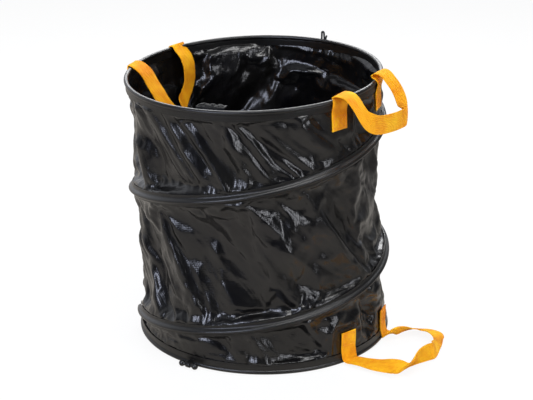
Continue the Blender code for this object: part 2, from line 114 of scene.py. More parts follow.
def choose(*pieces):
    """Selects these pieces alone, in object mode, and makes the first of them active."""
    if bpy.context.object and bpy.context.object.mode != "OBJECT":
        bpy.ops.object.mode_set(mode="OBJECT")
    bpy.ops.object.select_all(action="DESELECT")
    for piece in pieces:
        piece.select_set(True)
    if pieces:
        bpy.context.view_layer.objects.active = pieces[0]


def flat_cloth(name, along, across, length, width):
    """Cuts a flat piece of cloth as a grid, with its UV map in metres of cloth."""
    choose()
    bpy.ops.mesh.primitive_grid_add(x_subdivisions=along, y_subdivisions=across, size=1.0)
    piece = bpy.context.object
    piece.name = name
    piece.data.name = name
    uv = piece.data.uv_layers[0]
    uv.name = "cloth"
    for corner in uv.data:
        corner.uv = (corner.uv[0] * length, corner.uv[1] * width)
    return piece


def lay(piece, place):
    """Moves each point of a flat cloth to place(share along, share across)."""
    for vertex in piece.data.vertices:
        vertex.co = place(vertex.co.x + 0.5, vertex.co.y + 0.5)
    piece.data.update()


def weld(piece):
    """Joins the points of a piece that meet, such as a ring's two ends, and turns its faces out."""
    choose(piece)
    bpy.ops.object.mode_set(mode="EDIT")
    bpy.ops.mesh.select_all(action="SELECT")
    bpy.ops.mesh.remove_doubles(threshold=weld_gap)
    bpy.ops.mesh.normals_make_consistent(inside=False)
    bpy.ops.object.mode_set(mode="OBJECT")


def shade_smooth(piece, angle):
    """Shades a piece smooth where its faces meet at less than this angle in degrees."""
    choose(piece)
    bpy.ops.object.shade_smooth_by_angle(angle=math.radians(angle))


def finish_mesh(piece, thickness=0.0, bevel=0.0, smooth_levels=0, angle=50):
    """Gives a cloth its thickness, softens its edges and applies its modifiers. The thickness isn't
    kept even across a sharp turn, where that would pull a point far out."""
    if thickness:
        solid = piece.modifiers.new("thickness", "SOLIDIFY")
        solid.thickness = thickness
        solid.offset = 0.0
    if bevel:
        edge = piece.modifiers.new("edge", "BEVEL")
        edge.width = bevel
        edge.segments = 2
        edge.limit_method = "ANGLE"
        edge.angle_limit = math.radians(60)
    if smooth_levels:
        smooth = piece.modifiers.new("smooth", "SUBSURF")
        smooth.levels = smooth_levels
        smooth.render_levels = smooth_levels
        smooth.uv_smooth = "NONE"
    choose(piece)
    for modifier in list(piece.modifiers):
        bpy.ops.object.modifier_apply(modifier=modifier.name)
    shade_smooth(piece, angle)


# Materials


def linear(hexadecimal):
    """Turns an sRGB hex colour to linear light."""
    parts = [int(hexadecimal[index:index + 2], 16) / 255 for index in (1, 3, 5)]
    return (*[part / 12.92 if part <= 0.04045 else ((part + 0.055) / 1.055) ** 2.4 for part in parts], 1.0)


def add(material, kind, inputs=None, output=0, stops=(), **settings):
    """Adds a node to a material or the world, with its settings, its inputs as values or links and
    a ramp's stops, and returns one of its outputs."""
    tree = material.node_tree
    made = tree.nodes.new("ShaderNode" + kind)
    for key, value in settings.items():
        setattr(made, key, value)
    for key, value in (inputs or {}).items():
        if isinstance(value, bpy.types.NodeSocket):
            tree.links.new(value, made.inputs[key])
        else:
            made.inputs[key].default_value = value
    for index, (position, colour) in enumerate(stops):
        elements = made.color_ramp.elements
        element = elements[index] if index < 2 else elements.new(position)
        element.position, element.color = position, linear(colour)
    return made.outputs[output]


def new_material(name, values, recipe):
    """Makes a material whose shader has these uniform values. recipe(material) returns the layers
    of its relief as (height, depth, strength), the tone that colours it, the tone's colours, and
    the lowest and highest roughness where that follows the tone too."""
    material = bpy.data.materials.new(name)
    material.use_nodes = True
    shader = material.node_tree.nodes["Principled BSDF"]
    for key, value in values.items():
        shader.inputs[key].default_value = value
    layers, tone, stops, *rough = recipe(material)
    links = {"Base Color": add(material, "ValToRGB", {0: tone}, stops=stops)}
    for height, depth, strength in layers:
        inputs = {"Height": height, "Distance": depth, "Strength": strength}
        if "Normal" in links:
            inputs["Normal"] = links["Normal"]
        links["Normal"] = add(material, "Bump", inputs)
    if rough:
        inputs = {"Value": tone, "To Min": rough[0], "To Max": rough[1]}
        links["Roughness"] = add(material, "MapRange", inputs)
    for key, socket in links.items():
        material.node_tree.links.new(socket, shader.inputs[key])
    return material


def ribs(material, direction, pitch, sharpness=1.0):
    """Straight ribs of a real pitch in metres along one direction of the cloth."""
    cloth = add(material, "TexCoord", output="UV")
    along = add(material, "SeparateXYZ", {0: cloth}, output=direction)
    phase = add(material, "Math", {0: along, 1: 2 * math.pi / pitch}, operation="MULTIPLY")
    wave = add(material, "Math", {0: phase}, operation="SINE")
    level = add(material, "Math", {0: wave, 1: 0.5, 2: 0.5}, operation="MULTIPLY_ADD")
    return add(material, "Math", {0: level, 1: sharpness}, operation="POWER")


def speckle(material, size, detail=4.0, roughness=0.55):
    """Soft noise whose blotches have a real size in metres."""
    place = add(material, "TexCoord", output="Object")
    return add(material, "TexNoise",
               {"Vector": place, "Scale": 1 / size, "Detail": detail, "Roughness": roughness})


def blotches_and_painted_relief_shade(material, blotches, blotch_share, relief, relief_share):
    """Blotches and the heights of the relief, added up by these shares. In a colour, the relief is
    painted shade: lighter on the ridges, darker between them.
    """
    # The relief's heights, added to the colour, are painted shade: darker between the ridges
    raised = add(material, "Math", {0: relief, 1: relief_share}, operation="MULTIPLY")
    return add(material, "Math", {0: blotches, 1: blotch_share, 2: raised}, operation="MULTIPLY_ADD")


def stitch_row(material, place, pitch, width):
    """Dashes of thread along the cloth at one distance from its edge, raised at their middles."""
    cloth = add(material, "TexCoord", output="UV")
    along, across = (add(material, "SeparateXYZ", {0: cloth}, output=axis) for axis in (0, 1))
    beside = add(material, "Math", {0: across, 1: place, 2: width / 2}, operation="COMPARE")
    phase = add(material, "Math", {0: along, 1: math.pi / pitch}, operation="MULTIPLY")
    wave = add(material, "Math", {0: phase}, operation="SINE")
    dash = add(material, "Math", {0: wave}, operation="ABSOLUTE")
    raised = add(material, "Math", {0: dash, 1: 0.4}, operation="POWER")
    return add(material, "Math", {0: beside, 1: raised}, operation="MULTIPLY")


def folds(material, size):
    """Sharp creases with flat slopes between them, drawn out from upper left to lower right."""
    cloth = add(material, "TexCoord", output="UV")
    inputs = {"Vector": cloth, "Rotation": (0, 0, math.radians(40)), "Scale": (1.0, 2.2, 1.0)}
    slanted = add(material, "Mapping", inputs, vector_type="TEXTURE")
    return add(material, "TexVoronoi", {"Vector": slanted, "Scale": 1 / size}, distance="MANHATTAN")


def woven_polyethylene():
    """Tarpaulin: flat polyethylene tapes, woven and coated. The coat is glossy black and mirrors
    the room, the tapes show in it as a faint grid, and it keeps sharp small creases. The weave is
    drawn at 2.6 mm, a little coarse, so that it shows."""
    def recipe(material):
        warp, weft = (ribs(material, direction, 2.6 * MM, 0.6) for direction in (0, 1))
        weave = add(material, "Math", {0: warp, 1: weft}, operation="ADD")
        layers = [(folds(material, 26 * MM), 1.8 * MM, 0.6), (folds(material, 10 * MM), 0.6 * MM, 0.6),
                  (weave, 0.1 * MM, 0.5)]
        dust = speckle(material, 55 * MM, detail=7.0, roughness=0.6)
        return layers, dust, [(0.3, "#060609"), (0.7, "#100F0D")], 0.16, 0.32
    return new_material("woven_polyethylene_sheet", {"IOR": 1.5}, recipe)


def grosgrain_tape(name, stitch_places=()):
    """Polyester grosgrain: a matt black tape with fine ribs straight across it, painted darker between
    the ribs as shade, and a row of stitches sunk into it where it is sewn down. The ribs are drawn at
    2 mm, coarser than life, so that they show."""
    def recipe(material):
        cords, height = ribs(material, 1, 1.3 * MM), ribs(material, 0, 2.0 * MM)
        height = add(material, "Math", {0: cords, 1: 0.3, 2: height}, operation="MULTIPLY_ADD")
        layers = [(height, 0.15 * MM, 0.6), (speckle(material, 2.5 * MM), 0.12 * MM, 0.5)]
        layers += [(stitch_row(material, place, 3.4 * MM, 1.1 * MM), 0.6 * MM, 0.9)
                   for place in stitch_places]
        # Random blotches of wear, and painted shade that darkens the colour between the ribs
        wear_and_painted_rib_shade = blotches_and_painted_relief_shade(material, speckle(material, 38 * MM), 0.75, height, 0.2)
        return layers, wear_and_painted_rib_shade, [(0.35, "#050505"), (0.75, "#11100F")]
    return new_material(name, {"Roughness": 0.33, "IOR": 1.5}, recipe)


def webbing():
    """Polypropylene webbing: thick ribs of weft across the strap, crossed by the warp's columns.
    The fibre is bright and a little shiny, and its colour is painted lighter on the ribs and darker
    between them, as light and shade."""
    def recipe(material):
        weft, warp = ribs(material, 0, 2.0 * MM, 0.8), ribs(material, 1, 2.7 * MM, 0.8)
        height = add(material, "Math", {0: warp, 1: 0.4, 2: weft}, operation="MULTIPLY_ADD")
        layers = [(height, 0.8 * MM, 0.9), (speckle(material, 1.3 * MM), 0.2 * MM, 0.4)]
        # Blotches from handling, and painted light and shade: lighter on the ribs, darker between them
        handled_and_painted_rib_shade = blotches_and_painted_relief_shade(material, speckle(material, 34 * MM, detail=6.0), 0.9, height, 0.3)
        return layers, handled_and_painted_rib_shade, [(0.36, "#C65C00"), (0.62, "#F49800"), (0.9, "#FFCC20")]
    return new_material("orange_polypropylene_webbing", {"Roughness": 0.75, "IOR": 1.3}, recipe)


def sewing_thread():
    """Bonded nylon thread: twisted, so each stitch has a slanting lay that catches the light. Its colour
    follows the lay, painted lighter on the ridges and darker between them as highlight and shade.
    """
    def recipe(material):
        place = add(material, "TexCoord", output="Object")
        # The twist's relief, used as colour too: a painted highlight on each ridge, painted shade between
        twist_and_painted_light = add(material, "TexWave", {"Vector": place, "Scale": 133.33}, output=1,
                    bands_direction="DIAGONAL")
        return [(twist_and_painted_light, 0.1 * MM, 0.5)], twist_and_painted_light, [(0.0, "#E07A08"), (1.0, "#FFAE30")]
    return new_material("orange_sewing_thread", {"Roughness": 0.45, "IOR": 1.53}, recipe)


def drawn_steel():
    """Spring steel wire, drawn: a grey metal under a patchy film of oil."""
    def recipe(material):
        film = speckle(material, 6 * MM)
        layers = [(speckle(material, 0.6 * MM), 0.05 * MM, 0.4)]
        return layers, film, [(0.3, "#8C8D90"), (0.7, "#B4B5B8")], 0.25, 0.45
    return new_material("drawn_spring_steel", {"Metallic": 1.0}, recipe)


def zinc_plate():
    """Zinc plate on a pressed steel sleeve: duller than the wire and patchy, with small spangles."""
    def recipe(material):
        place = add(material, "TexCoord", output="Object")
        spangle = add(material, "TexVoronoi", {"Vector": place, "Scale": 1 / (2.5 * MM)}, output=1)
        return [], spangle, [(0.2, "#9A9DA0"), (0.8, "#C2C4C6")], 0.35, 0.5
    return new_material("zinc_plated_steel", {"Metallic": 1.0}, recipe)


def moulded_acetal():
    """Acetal, injection moulded: black, smooth and slightly waxy, with a faint orange peel and
    dull scuffs."""
    def recipe(material):
        scuffs = speckle(material, 7 * MM, detail=6.0)
        layers = [(speckle(material, 1.5 * MM, detail=2.0), 0.05 * MM, 0.4)]
        return layers, scuffs, [(0.3, "#0C0C0D"), (0.7, "#191919")], 0.16, 0.42
    return new_material("moulded_acetal", {"IOR": 1.48}, recipe)


def braided_cord():
    """Elastic cord in a braided cover: a fine diamond of crossing strands, matt black, painted lighter
    on the strands' crests and darker between them as light and shade.
    """
    def recipe(material):
        place = add(material, "TexCoord", output="Object")
        mirrored = add(material, "Mapping", {"Vector": place, "Scale": (-1, -1, 1)})
        one, two = (add(material, "TexWave", {"Vector": vector, "Scale": 100.0}, output=1,
                        bands_direction="DIAGONAL") for vector in (place, mirrored))
        # The strands' relief, used as colour too: painted light on their crests, painted shade between
        strands_and_painted_shade = add(material, "Math", {0: one, 1: two}, operation="MAXIMUM")
        return [(strands_and_painted_shade, 0.2 * MM, 0.7)], strands_and_painted_shade, [(0.0, "#0B0B0C"), (1.0, "#2A2A2C")]
    return new_material("braided_elastic_cord", {"Roughness": 0.8, "IOR": 1.5}, recipe)


def label_satin():
    """Woven satin: soft dark grey with a slanting twill and creased. Its silky sheen is painted: the
    colour is lighter on the creases' ridges and darker in their hollows, as sheen and shade.
    """
    def recipe(material):
        cloth = add(material, "TexCoord", output="UV")
        twill = add(material, "TexWave", {"Vector": cloth, "Scale": 106.67}, output=1,
                    bands_direction="DIAGONAL")
        # The crease relief, used as colour too: a painted sheen on the ridges, painted shade in the hollows
        crushed_and_painted_shade = speckle(material, 9 * MM)
        layers = [(crushed_and_painted_shade, 2.5 * MM, 0.6), (twill, 0.1 * MM, 0.4)]
        return layers, crushed_and_painted_shade, [(0.3, "#030304"), (0.7, "#0B0B0C")]
    return new_material("woven_satin_label", {"Roughness": 0.6, "IOR": 1.28}, recipe)


# The rows of stitches on a tape are given as distances from its first edge
sheet_finish = woven_polyethylene()
binding_width = 2 * flange + 2 * math.pi * sleeve_radius
helix_tape_width = helix_tape_above + helix_tape_below + 2 * helix_roll
rim_tape_finish = grosgrain_tape("ribbed_binding_tape", (2.2 * MM, binding_width - 2.2 * MM))
helix_tape_finish = grosgrain_tape("ribbed_spring_tape", (1.8 * MM, helix_tape_width - 1.6 * MM))
plain_tape_finish = grosgrain_tape("plain_narrow_tape")
webbing_finish = webbing()
orange_thread = sewing_thread()
steel_finish = drawn_steel()
zinc_finish = zinc_plate()
plastic_finish = moulded_acetal()
cord_finish = braided_cord()
label_finish = label_satin()


def coat(data, finish):
    """Gives a mesh this material alone."""
    data.materials.clear()
    data.materials.append(finish)


def dress(piece, finish, body, slot, *nodes):
    """Gives a finished piece its material and its place among the moving bodies."""
    coat(piece.data, finish)
    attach(piece, body)
    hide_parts(*nodes)


# Where the handles are sewn. The rise is how high a strap's fold stands, the reach how far its loop
# goes out from the fold and the drop how far it hangs; the lift is how far the bottom one rises
handle_angle = math.radians(-33.5)
leg_half_span = 60.0 * MM
base_leg_half_span = 57.0 * MM
base_side_reach = 57.0 * MM
outer_rise, outer_reach, outer_drop = 12.0 * MM, 42.5 * MM, 62.0 * MM
inner_rise, inner_reach, inner_drop = 5.6 * MM, 64.5 * MM, 90.5 * MM
base_fold_height, base_reach, base_lift = 4.6 * MM, 85.0 * MM, 24.0 * MM
inner_fold_offset = 3.0 * MM
base_fold_offset = 11.5 * MM
tab_drop = 47.0 * MM
base_tab_top = 52.0 * MM

tab_wall_distance = hoop_radius + 1.4 * MM
tab_roll_distance = hoop_radius + sleeve_outer + wire_clearance + webbing_thickness / 2
outer_leg = tab_roll_distance + webbing_thickness / 2
inner_leg = hoop_radius - inner_fold_offset
base_leg = hoop_radius + base_fold_offset

# The handles: name, frame, middle's angle, half span, the legs' distance and the tabs' foot
handles = (("right_handle", rim_matrix, handle_angle, leg_half_span, outer_leg, -tab_drop),
           ("left_handle", rim_matrix, handle_angle + math.pi, leg_half_span, inner_leg, -tab_drop),
           ("bottom_handle", level_matrix, handle_angle, base_leg_half_span, base_leg, base_tab_top))

# The wall: drawn in between its seams, and sewn to the spring tape along the helix
drawn_in = 10.5 * MM
drawn_in_span = 150.0 * MM


def wall_ring_point(angle, on_rim, height, offset):
    point = radial(angle) * (hoop_radius + offset) + up * height
    return rim_matrix @ point if on_rim else point


def wall_point(angle, share, offset=0.0):
    low = wall_ring_point(angle, False, wall_low, offset)
    high = wall_ring_point(angle, True, -flange, offset)
    return low.lerp(high, share)


def helix_shares(angle):
    """The shares at which the spring passes this angle."""
    found = []
    start = (helix_start_step * step_angle - angle) / step_angle
    for turn in range(-1, 3):
        travel = (start + turn * ring_steps) / helix_step_count
        if 0 <= travel <= 1:
            found.append(helix_high + (helix_low - helix_high) * travel)
    return found


# The sheet stays out where a tab is sewn to it and flat behind a toggle: the angle, the height of
# the patch's edge and the side of it
closure_angle = 7.5 * step_angle
toggle_patch_top = 34.0 * MM
tab_patches = [(closure_angle, toggle_patch_top, -1), (closure_angle + math.pi, toggle_patch_top, -1)]
for _, matrix, centre, span, leg, foot in handles:
    for tab_angle in (centre - math.asin(span / leg), centre + math.asin(span / leg)):
        level = (matrix @ (radial(tab_angle) * hoop_radius + up * foot)).z
        tab_patches.append((tab_angle, level, 1 if foot < 0 else -1))
patch_half_width, patch_margin, patch_fade = 24.0 * MM, 6.0 * MM, 38.0 * MM


def free_of_tabs(angle, height):
    """0 where a tab's foot holds the sheet, rising to 1 clear of it."""
    free = 1.0
    for tab_angle, level, side in tab_patches:
        apart = abs((angle - tab_angle + math.pi) % (2 * math.pi) - math.pi) * hoop_radius
        beside = max(0.0, apart - patch_half_width)
        beyond = max(0.0, (level - height) * side - patch_margin)
        free = min(free, ease(math.hypot(beside, beyond) / patch_fade))
    return free


def tape_edges(angle, share):
    """The shares at which the tapes below and above this place end, or nothing on a tape."""
    seams = [(0.0, 0.0, 0.0), (1.0, 0.0, 0.0)]
    seams += [(place, helix_tape_above / free_height, helix_tape_below / free_height)
              for place in helix_shares(angle)]
    seams.sort()
    for low, high in zip(seams, seams[1:]):
        bottom, top = low[0] + low[1], high[0] - high[2]
        if bottom < share < top:
            return bottom, top
    return None


def sag(angle, share):
    """How far the sheet is drawn in here, between the edges of the tapes above and below."""
    edges = tape_edges(angle, share)
    if edges is None:
        return 0.0
    bottom, top = edges
    place = (share - bottom) / (top - bottom)
    span = min(1.0, (top - bottom) * free_height / drawn_in_span)
    return drawn_in * span * 4 * place * (1 - place) * free_of_tabs(angle, wall_point(angle, share).z)


# The sheet goes this far into each binding. Smoothing makes its grid this many times finer
wall_edge = 12.0 * MM
wall_bottom_share = -wall_edge / free_height
wall_share_span = 1 + 2 * wall_edge / free_height
wall_columns, wall_rows = 270, 92
finer = 2
fine_columns, fine_rows = wall_columns * finer, wall_rows * finer
wall_length = 2 * math.pi * hoop_radius


def wall_share(across):
    return wall_bottom_share + across * wall_share_span


def wall_place(along, across):
    angle, share = along * 2 * math.pi, wall_share(across)
    return wall_point(angle, share, -sag(angle, share))


# How the sheet was cut, against the frame it is sewn to
cut_longer, cut_wider, cut_skew, cut_drawn_in = 0.075, 0.05, 0.045, 0.5
uneven, uneven_size = 8.0 * MM, 66.0 * MM
dented, dented_size = 6.0 * MM, 55.0 * MM
skew_seed, height_seed = Vector((7, 1, 3)), Vector((1, 9, 5))
held_sag = 0.6 * MM
sewing_frames, settling_frames = 12, 28
# The pressure is negative, so the sheet is sucked in between the turns of the spring
cloth_values = {
    "vertex_group_mass": "sewn", "quality": 5, "mass": 0.02, "tension_stiffness": 120.0,
    "compression_stiffness": 120.0, "shear_stiffness": 20.0, "bending_stiffness": 0.1,
    "bending_damping": 0.3, "tension_damping": 0.4, "compression_damping": 0.4, "shear_damping": 0.4,
    "air_damping": 0.5, "use_pressure": True, "uniform_pressure_force": -0.5}


def wrinkle(wall, places):
    """Lets the sheet hang as cloth that is sewn along its seams. It was cut long, wide, uneven and
    on the skew, so that once it is sewn it creases from upper left to lower right between them."""
    sewn_shape = [vertex.co.copy() for vertex in wall.data.vertices]
    sewn = wall.vertex_groups.new(name="sewn")
    for vertex in wall.data.vertices:
        along, across = places[vertex.index]
        share = wall_share(across)
        drawn = sag(along * 2 * math.pi, share)
        held = 1 - ease(drawn / held_sag) if 0 < share < 1 else 1.0
        sewn.add([vertex.index], held, "REPLACE")
        spot = vertex.co / uneven_size
        skew = math.atan2(vertex.co.y, vertex.co.x) + cut_skew * (vertex.co.z - wall_low) / hoop_radius
        skew += noise.noise(spot + skew_seed) * uneven / hoop_radius
        reach = (math.hypot(vertex.co.x, vertex.co.y) + drawn * (1 - cut_drawn_in)) * (1 + cut_wider)
        reach += noise.noise(vertex.co / dented_size) * dented
        height = vertex.co.z * (1 + cut_longer) + noise.noise(spot + height_seed) * uneven
        vertex.co = (math.cos(skew) * reach, math.sin(skew) * reach, height)
    wall.shape_key_add(name="cut")
    key = wall.shape_key_add(name="sewn")
    for target, place in zip(key.data, sewn_shape):
        target.co = place
    for frame_number, value in ((1, 0.0), (sewing_frames, 1.0)):
        key.value = value
        key.keyframe_insert("value", frame=frame_number)
    cloth = wall.modifiers.new("cloth", "CLOTH")
    for name, value in cloth_values.items():
        setattr(cloth.settings, name, value)
    cloth.settings.effector_weights.gravity = 0.0
    cloth.point_cache.frame_end = settling_frames
    for frame_number in range(1, settling_frames + 1):
        bpy.context.scene.frame_set(frame_number)
    settled = wall.evaluated_get(bpy.context.evaluated_depsgraph_get()).data
    settled = [vertex.co.copy() for vertex in settled.vertices]
    wall.shape_key_clear()
    wall.modifiers.clear()
    wall.vertex_groups.clear()
    for vertex, place in zip(wall.data.vertices, settled):
        vertex.co = place
    bpy.context.scene.frame_set(1)


# Without a seed noise_vector takes its offsets from the clock, and each run would differ
noise.seed_set(2)

# Creases that stay in the sheet from being pressed flat: how slanted they are, then the facets
# between them, as their number round the wall, their length and how far their corners stand out
crease_slant = 0.8
facets = ((26, 84.0 * MM, 7.0 * MM), (62, 36.0 * MM, 2.8 * MM), (130, 17.0 * MM, 0.9 * MM))
# How unevenly the facets lie, as a share of one; the height that counts as not standing out; and
# the share of the cells whose diagonal runs the other way, with that draw's own layer of noise
facet_bend = 0.45
facet_middle = 0.3
crossed_share, crossed_layer = 0.35, 50
crease_sag = 3.5 * MM
pucker_pitch, pucker_height, pucker_reach = 7.0 * MM, 1.5 * MM, 15.0 * MM
pucker_length, pucker_start = 30.0 * MM, 3.0 * MM


def flat_facet(across, along, columns, seed):
    """The height, from 0 to 1, of a sheet of flat triangles over a grid of random corners."""
    column, row = math.floor(across), math.floor(along)
    x, y = across - column, along - row

    def corner(right, above, layer=0.0):
        place = ((column + right) % columns + 0.5, row + above + 0.5, seed + layer + 0.5)
        return noise.cell(Vector(place))

    here, right, above, beyond = corner(0, 0), corner(1, 0), corner(0, 1), corner(1, 1)
    if corner(0, 0, crossed_layer) < crossed_share:
        if x > y:
            return here + (right - here) * x + (beyond - right) * y
        return here + (beyond - above) * x + (above - here) * y
    if x + y < 1:
        return here + (right - here) * x + (above - here) * y
    return beyond + (above - beyond) * (1 - x) + (right - beyond) * (1 - y)


def crease(angle, share, height):
    """How far the sheet stands out here: flat facets between sharp slanting creases, and short
    puckers square to the seams."""
    edges = tape_edges(angle, share)
    if edges is None:
        return 0.0
    free = ease(sag(angle, share) / crease_sag)
    slanted = angle + crease_slant * height / hoop_radius
    out = 0.0
    for seed, (columns, length, tall) in enumerate(facets):
        bend = noise.noise_vector((radial(angle) * hoop_radius + up * (height + seed)) / length) * facet_bend
        across = slanted / (2 * math.pi) * columns + bend.x
        out += (flat_facet(across, height / length + bend.z, columns, seed) - facet_middle) * tall
    edge = min(share - edges[0], edges[1] - share) * free_height
    row = radial(angle) * hoop_radius / pucker_pitch + up * height / pucker_length
    near_edge = ease(edge / pucker_start) * (1 - ease(edge / pucker_reach))
    return out * free + abs(noise.noise(row)) * pucker_height * near_edge * ease(free * 3)


# The finished sheet's points, by their column and row
wall_grid = {}


def sheet_places(wall):
    """Each corner's point, and its shares along and across the sheet."""
    cloth = wall.data.uv_layers[0].data
    for corner in wall.data.loops:
        place = cloth[corner.index].uv
        yield corner.vertex_index, place[0] / wall_length, place[1] / bag_height


def make_wall():
    wall = flat_cloth("wall_cloth", wall_columns, wall_rows, wall_length, bag_height)
    lay(wall, wall_place)
    weld(wall)
    wrinkle(wall, {point: (along, across) for point, along, across in sheet_places(wall)})
    finish_mesh(wall, smooth_levels=1, angle=80)
    for point, along, across in sheet_places(wall):
        column, row = round(along * fine_columns) % fine_columns, round(across * fine_rows)
        if (column, row) not in wall_grid:
            vertex = wall.data.vertices[point]
            angle = column / fine_columns * 2 * math.pi
            vertex.co += radial(angle) * crease(angle, wall_share(row / fine_rows), vertex.co.z)
            wall_grid[column, row] = vertex.co.copy()
    shade_smooth(wall, 80)
    dress(wall, sheet_finish, "base", "woven_sheet", "wall_sheet")
    return wall


def on_wall(angle, share, offset):
    """A point on the finished sheet, moved off it along its own slope."""
    column = (angle / (2 * math.pi) % 1.0) * fine_columns
    row = (share - wall_bottom_share) / wall_share_span * fine_rows
    left, low = int(column), min(int(row), fine_rows - 1)
    corners = [[wall_grid[(left + step) % fine_columns, low + rise] for rise in (0, 1)] for step in (0, 1)]
    along, across = column - left, row - low
    edges = [pair[0].lerp(pair[1], across) for pair in corners]
    slope = (corners[0][1] - corners[0][0]) + (corners[1][1] - corners[1][0])
    return edges[0].lerp(edges[1], along) + (edges[1] - edges[0]).cross(slope).normalized() * offset


# Rim bindings


def binding_outline():
    """The tape's path round its wire: outer flange, roll and inner flange, as (out, up) pairs."""
    neck = math.asin(tape_stand / sleeve_radius)
    outline = [(tape_stand, -flange), (tape_stand, -flange * 0.75), (tape_stand, -flange * 0.5),
               (tape_stand * 1.1, -flange * 0.33)]
    turns = 14
    for index in range(turns + 1):
        swing = math.pi - neck - index * 2 * (math.pi - neck) / turns
        outline.append((sleeve_radius * math.sin(swing), sleeve_radius * math.cos(swing)))
    outline += [(-out, height) for out, height in reversed(outline[:4])]
    return outline


def rolled_tape(name, outline, run, columns, place):
    """A tape with this section, laid by place(share along, out, up). Its UV map follows the
    section's own length."""
    lengths = [0.0]
    for start, end in zip(outline, outline[1:]):
        lengths.append(lengths[-1] + math.dist(start, end))
    rows = len(outline) - 1
    tape = flat_cloth(name, columns, rows, run, lengths[-1])
    lay(tape, lambda along, across: place(along, *outline[round(across * rows)]))
    for corner in tape.data.uv_layers[0].data:
        corner.uv = (corner.uv[0], lengths[round(corner.uv[1] / lengths[-1] * rows)])
    return tape


binding_columns = 288
binding_ripple, binding_ripples = 0.35 * MM, 9
binding_pucker, binding_puckers = 0.12 * MM, 190


def make_binding(name, matrix, level, side, body, node, seed):
    """A rim's tape, which ripples along its flanges and puckers at its stitches."""
    def place(along, out, height):
        angle = along * 2 * math.pi
        low = -height / flange
        ripple = noise.noise(radial(angle) * binding_ripples + up * seed) * binding_ripple * ease(low * 1.5)
        pucker = math.sin(angle * binding_puckers + seed) * binding_pucker * ease(low * 1.2 - 0.3)
        outward = 1 if out >= 0 else -1
        distance = hoop_radius + out + outward * (abs(ripple) + pucker)
        return matrix @ (radial(angle) * distance + up * (level - side * height))

    tape = rolled_tape(name, binding_outline(), 2 * math.pi * hoop_radius, binding_columns, place)
    weld(tape)
    finish_mesh(tape, thickness=tape_thickness, angle=60)
    dress(tape, rim_tape_finish, body, "binding", node)


# Spring tape
tape_columns = helix_step_count * 6
tape_ripple, tape_ripple_fade = 0.5 * MM, 5.0 * MM
tape_ripples, tape_ripples_across, tape_seed = 60, 40, 3.1
tape_pucker, tape_stitch = 0.1 * MM, 3.2 * MM


def helix_share(along):
    """The spring's share of the wall's height at a share of its own length, from its top."""
    return helix_high + (helix_low - helix_high) * along


def helix_outline():
    """The spring tape's section, as (up the wall, out from the wall) pairs from its top edge."""
    above, below = helix_tape_above, helix_tape_below
    outline = [(above, tape_stand), (above * 0.8, tape_stand + 0.2 * MM), (above * 0.6, tape_stand)]
    turns = 10
    for index in range(turns + 1):
        swing = math.radians(20) + index * math.radians(140) / turns
        out = tape_stand + (helix_stand + 1.6 * MM) * math.sin(swing) ** 1.3
        outline.append((helix_roll * 1.28 * math.cos(swing), out))
    return outline + [(-below * 0.75, tape_stand), (-below, tape_stand)]


def make_helix_tape():
    run = hoop_radius * step_angle * helix_step_count

    def place(along, lift, out):
        angle = (helix_start_step - along * helix_step_count) * step_angle
        edge = ease((abs(lift) - helix_roll) / tape_ripple_fade)
        spot = Vector((along * tape_ripples, tape_seed, lift * tape_ripples_across))
        wave = noise.noise(spot) * tape_ripple * edge
        pucker = math.sin(along * run / tape_stitch * math.pi) * tape_pucker * edge
        return wall_point(angle, helix_share(along) + lift / free_height, out + abs(wave) + pucker)

    tape = rolled_tape("spring_tape", helix_outline(), run, tape_columns, place)
    finish_mesh(tape, thickness=tape_thickness, angle=60)
    dress(tape, helix_tape_finish, "base", "binding", "helix_binding")
    return tape


# The wire under the tape: its radius, how far outside the wall its middle runs, its points in each
# step of the hoop and how many of them it ends short of the tape. Then the caps on its ends
spring_radius, spring_offset = 1.4 * MM, 2.9 * MM
spring_points, spring_setback = 4, 2
spring_cap_wall, spring_cap_tip, spring_cap_length = 0.9 * MM, 1.8 * MM, 9.0 * MM


def make_spring():
    """The spring wire under its tape, and the moulded cap pushed on each of its ends. They are made
    here because the frame's own wire would stay tall when the bag is pressed flat."""
    count = helix_step_count * spring_points
    route = [wall_point((helix_start_step - index / spring_points) * step_angle, helix_share(index / count),
                        spring_offset) for index in range(count + 1)]
    route = route[spring_setback:-spring_setback]
    pieces = [tube("spring_wire", route, spring_radius)]
    dress(pieces[0], steel_finish, "base", "spring_steel", "helix_spring_wire")
    outer, mouth = spring_radius + spring_cap_wall, spring_cap_tip - spring_cap_length
    outline = [(0.0, spring_cap_tip), (outer * 0.8, spring_cap_tip), (outer, spring_cap_tip * 0.6),
               (outer, mouth), (spring_radius * 1.1, mouth)]
    for end, tip, inward in (("top", route[0], route[1]), ("bottom", route[-1], route[-2])):
        matrix = (tip - inward).to_track_quat("Z", "Y").to_matrix().to_4x4()
        matrix.translation = tip
        cap = spun("spring_cap_" + end, outline, matrix, steps=24)
        dress(cap, plastic_finish, "base", "black_plastic", "helix_wire_cap_" + end)
        pieces.append(cap)
    return pieces


def press_flat(*pieces):
    """Gives each piece of the wall a mesh of its own."""
    for piece in pieces:
        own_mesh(piece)


# Straps
route_samples = 600
strap_ripple, strap_ripples = 0.5 * MM, 30


def smooth_between(before, start, end, after, share):
    return 0.5 * (2 * start + (end - before) * share + (2 * before - 5 * start + 4 * end - after) * share ** 2
                  + (3 * start - before - 3 * end + after) * share ** 3)


def read_route(sections, share):
    """Reads the centre and half width at a share along a list of strap sections."""
    place = min(share * (len(sections) - 1), len(sections) - 1.000001)
    index = int(place)
    ends = [sections[max(0, min(len(sections) - 1, index + step))] for step in (-1, 0, 1, 2)]
    return [smooth_between(*values, place - index) for values in zip(*ends)]


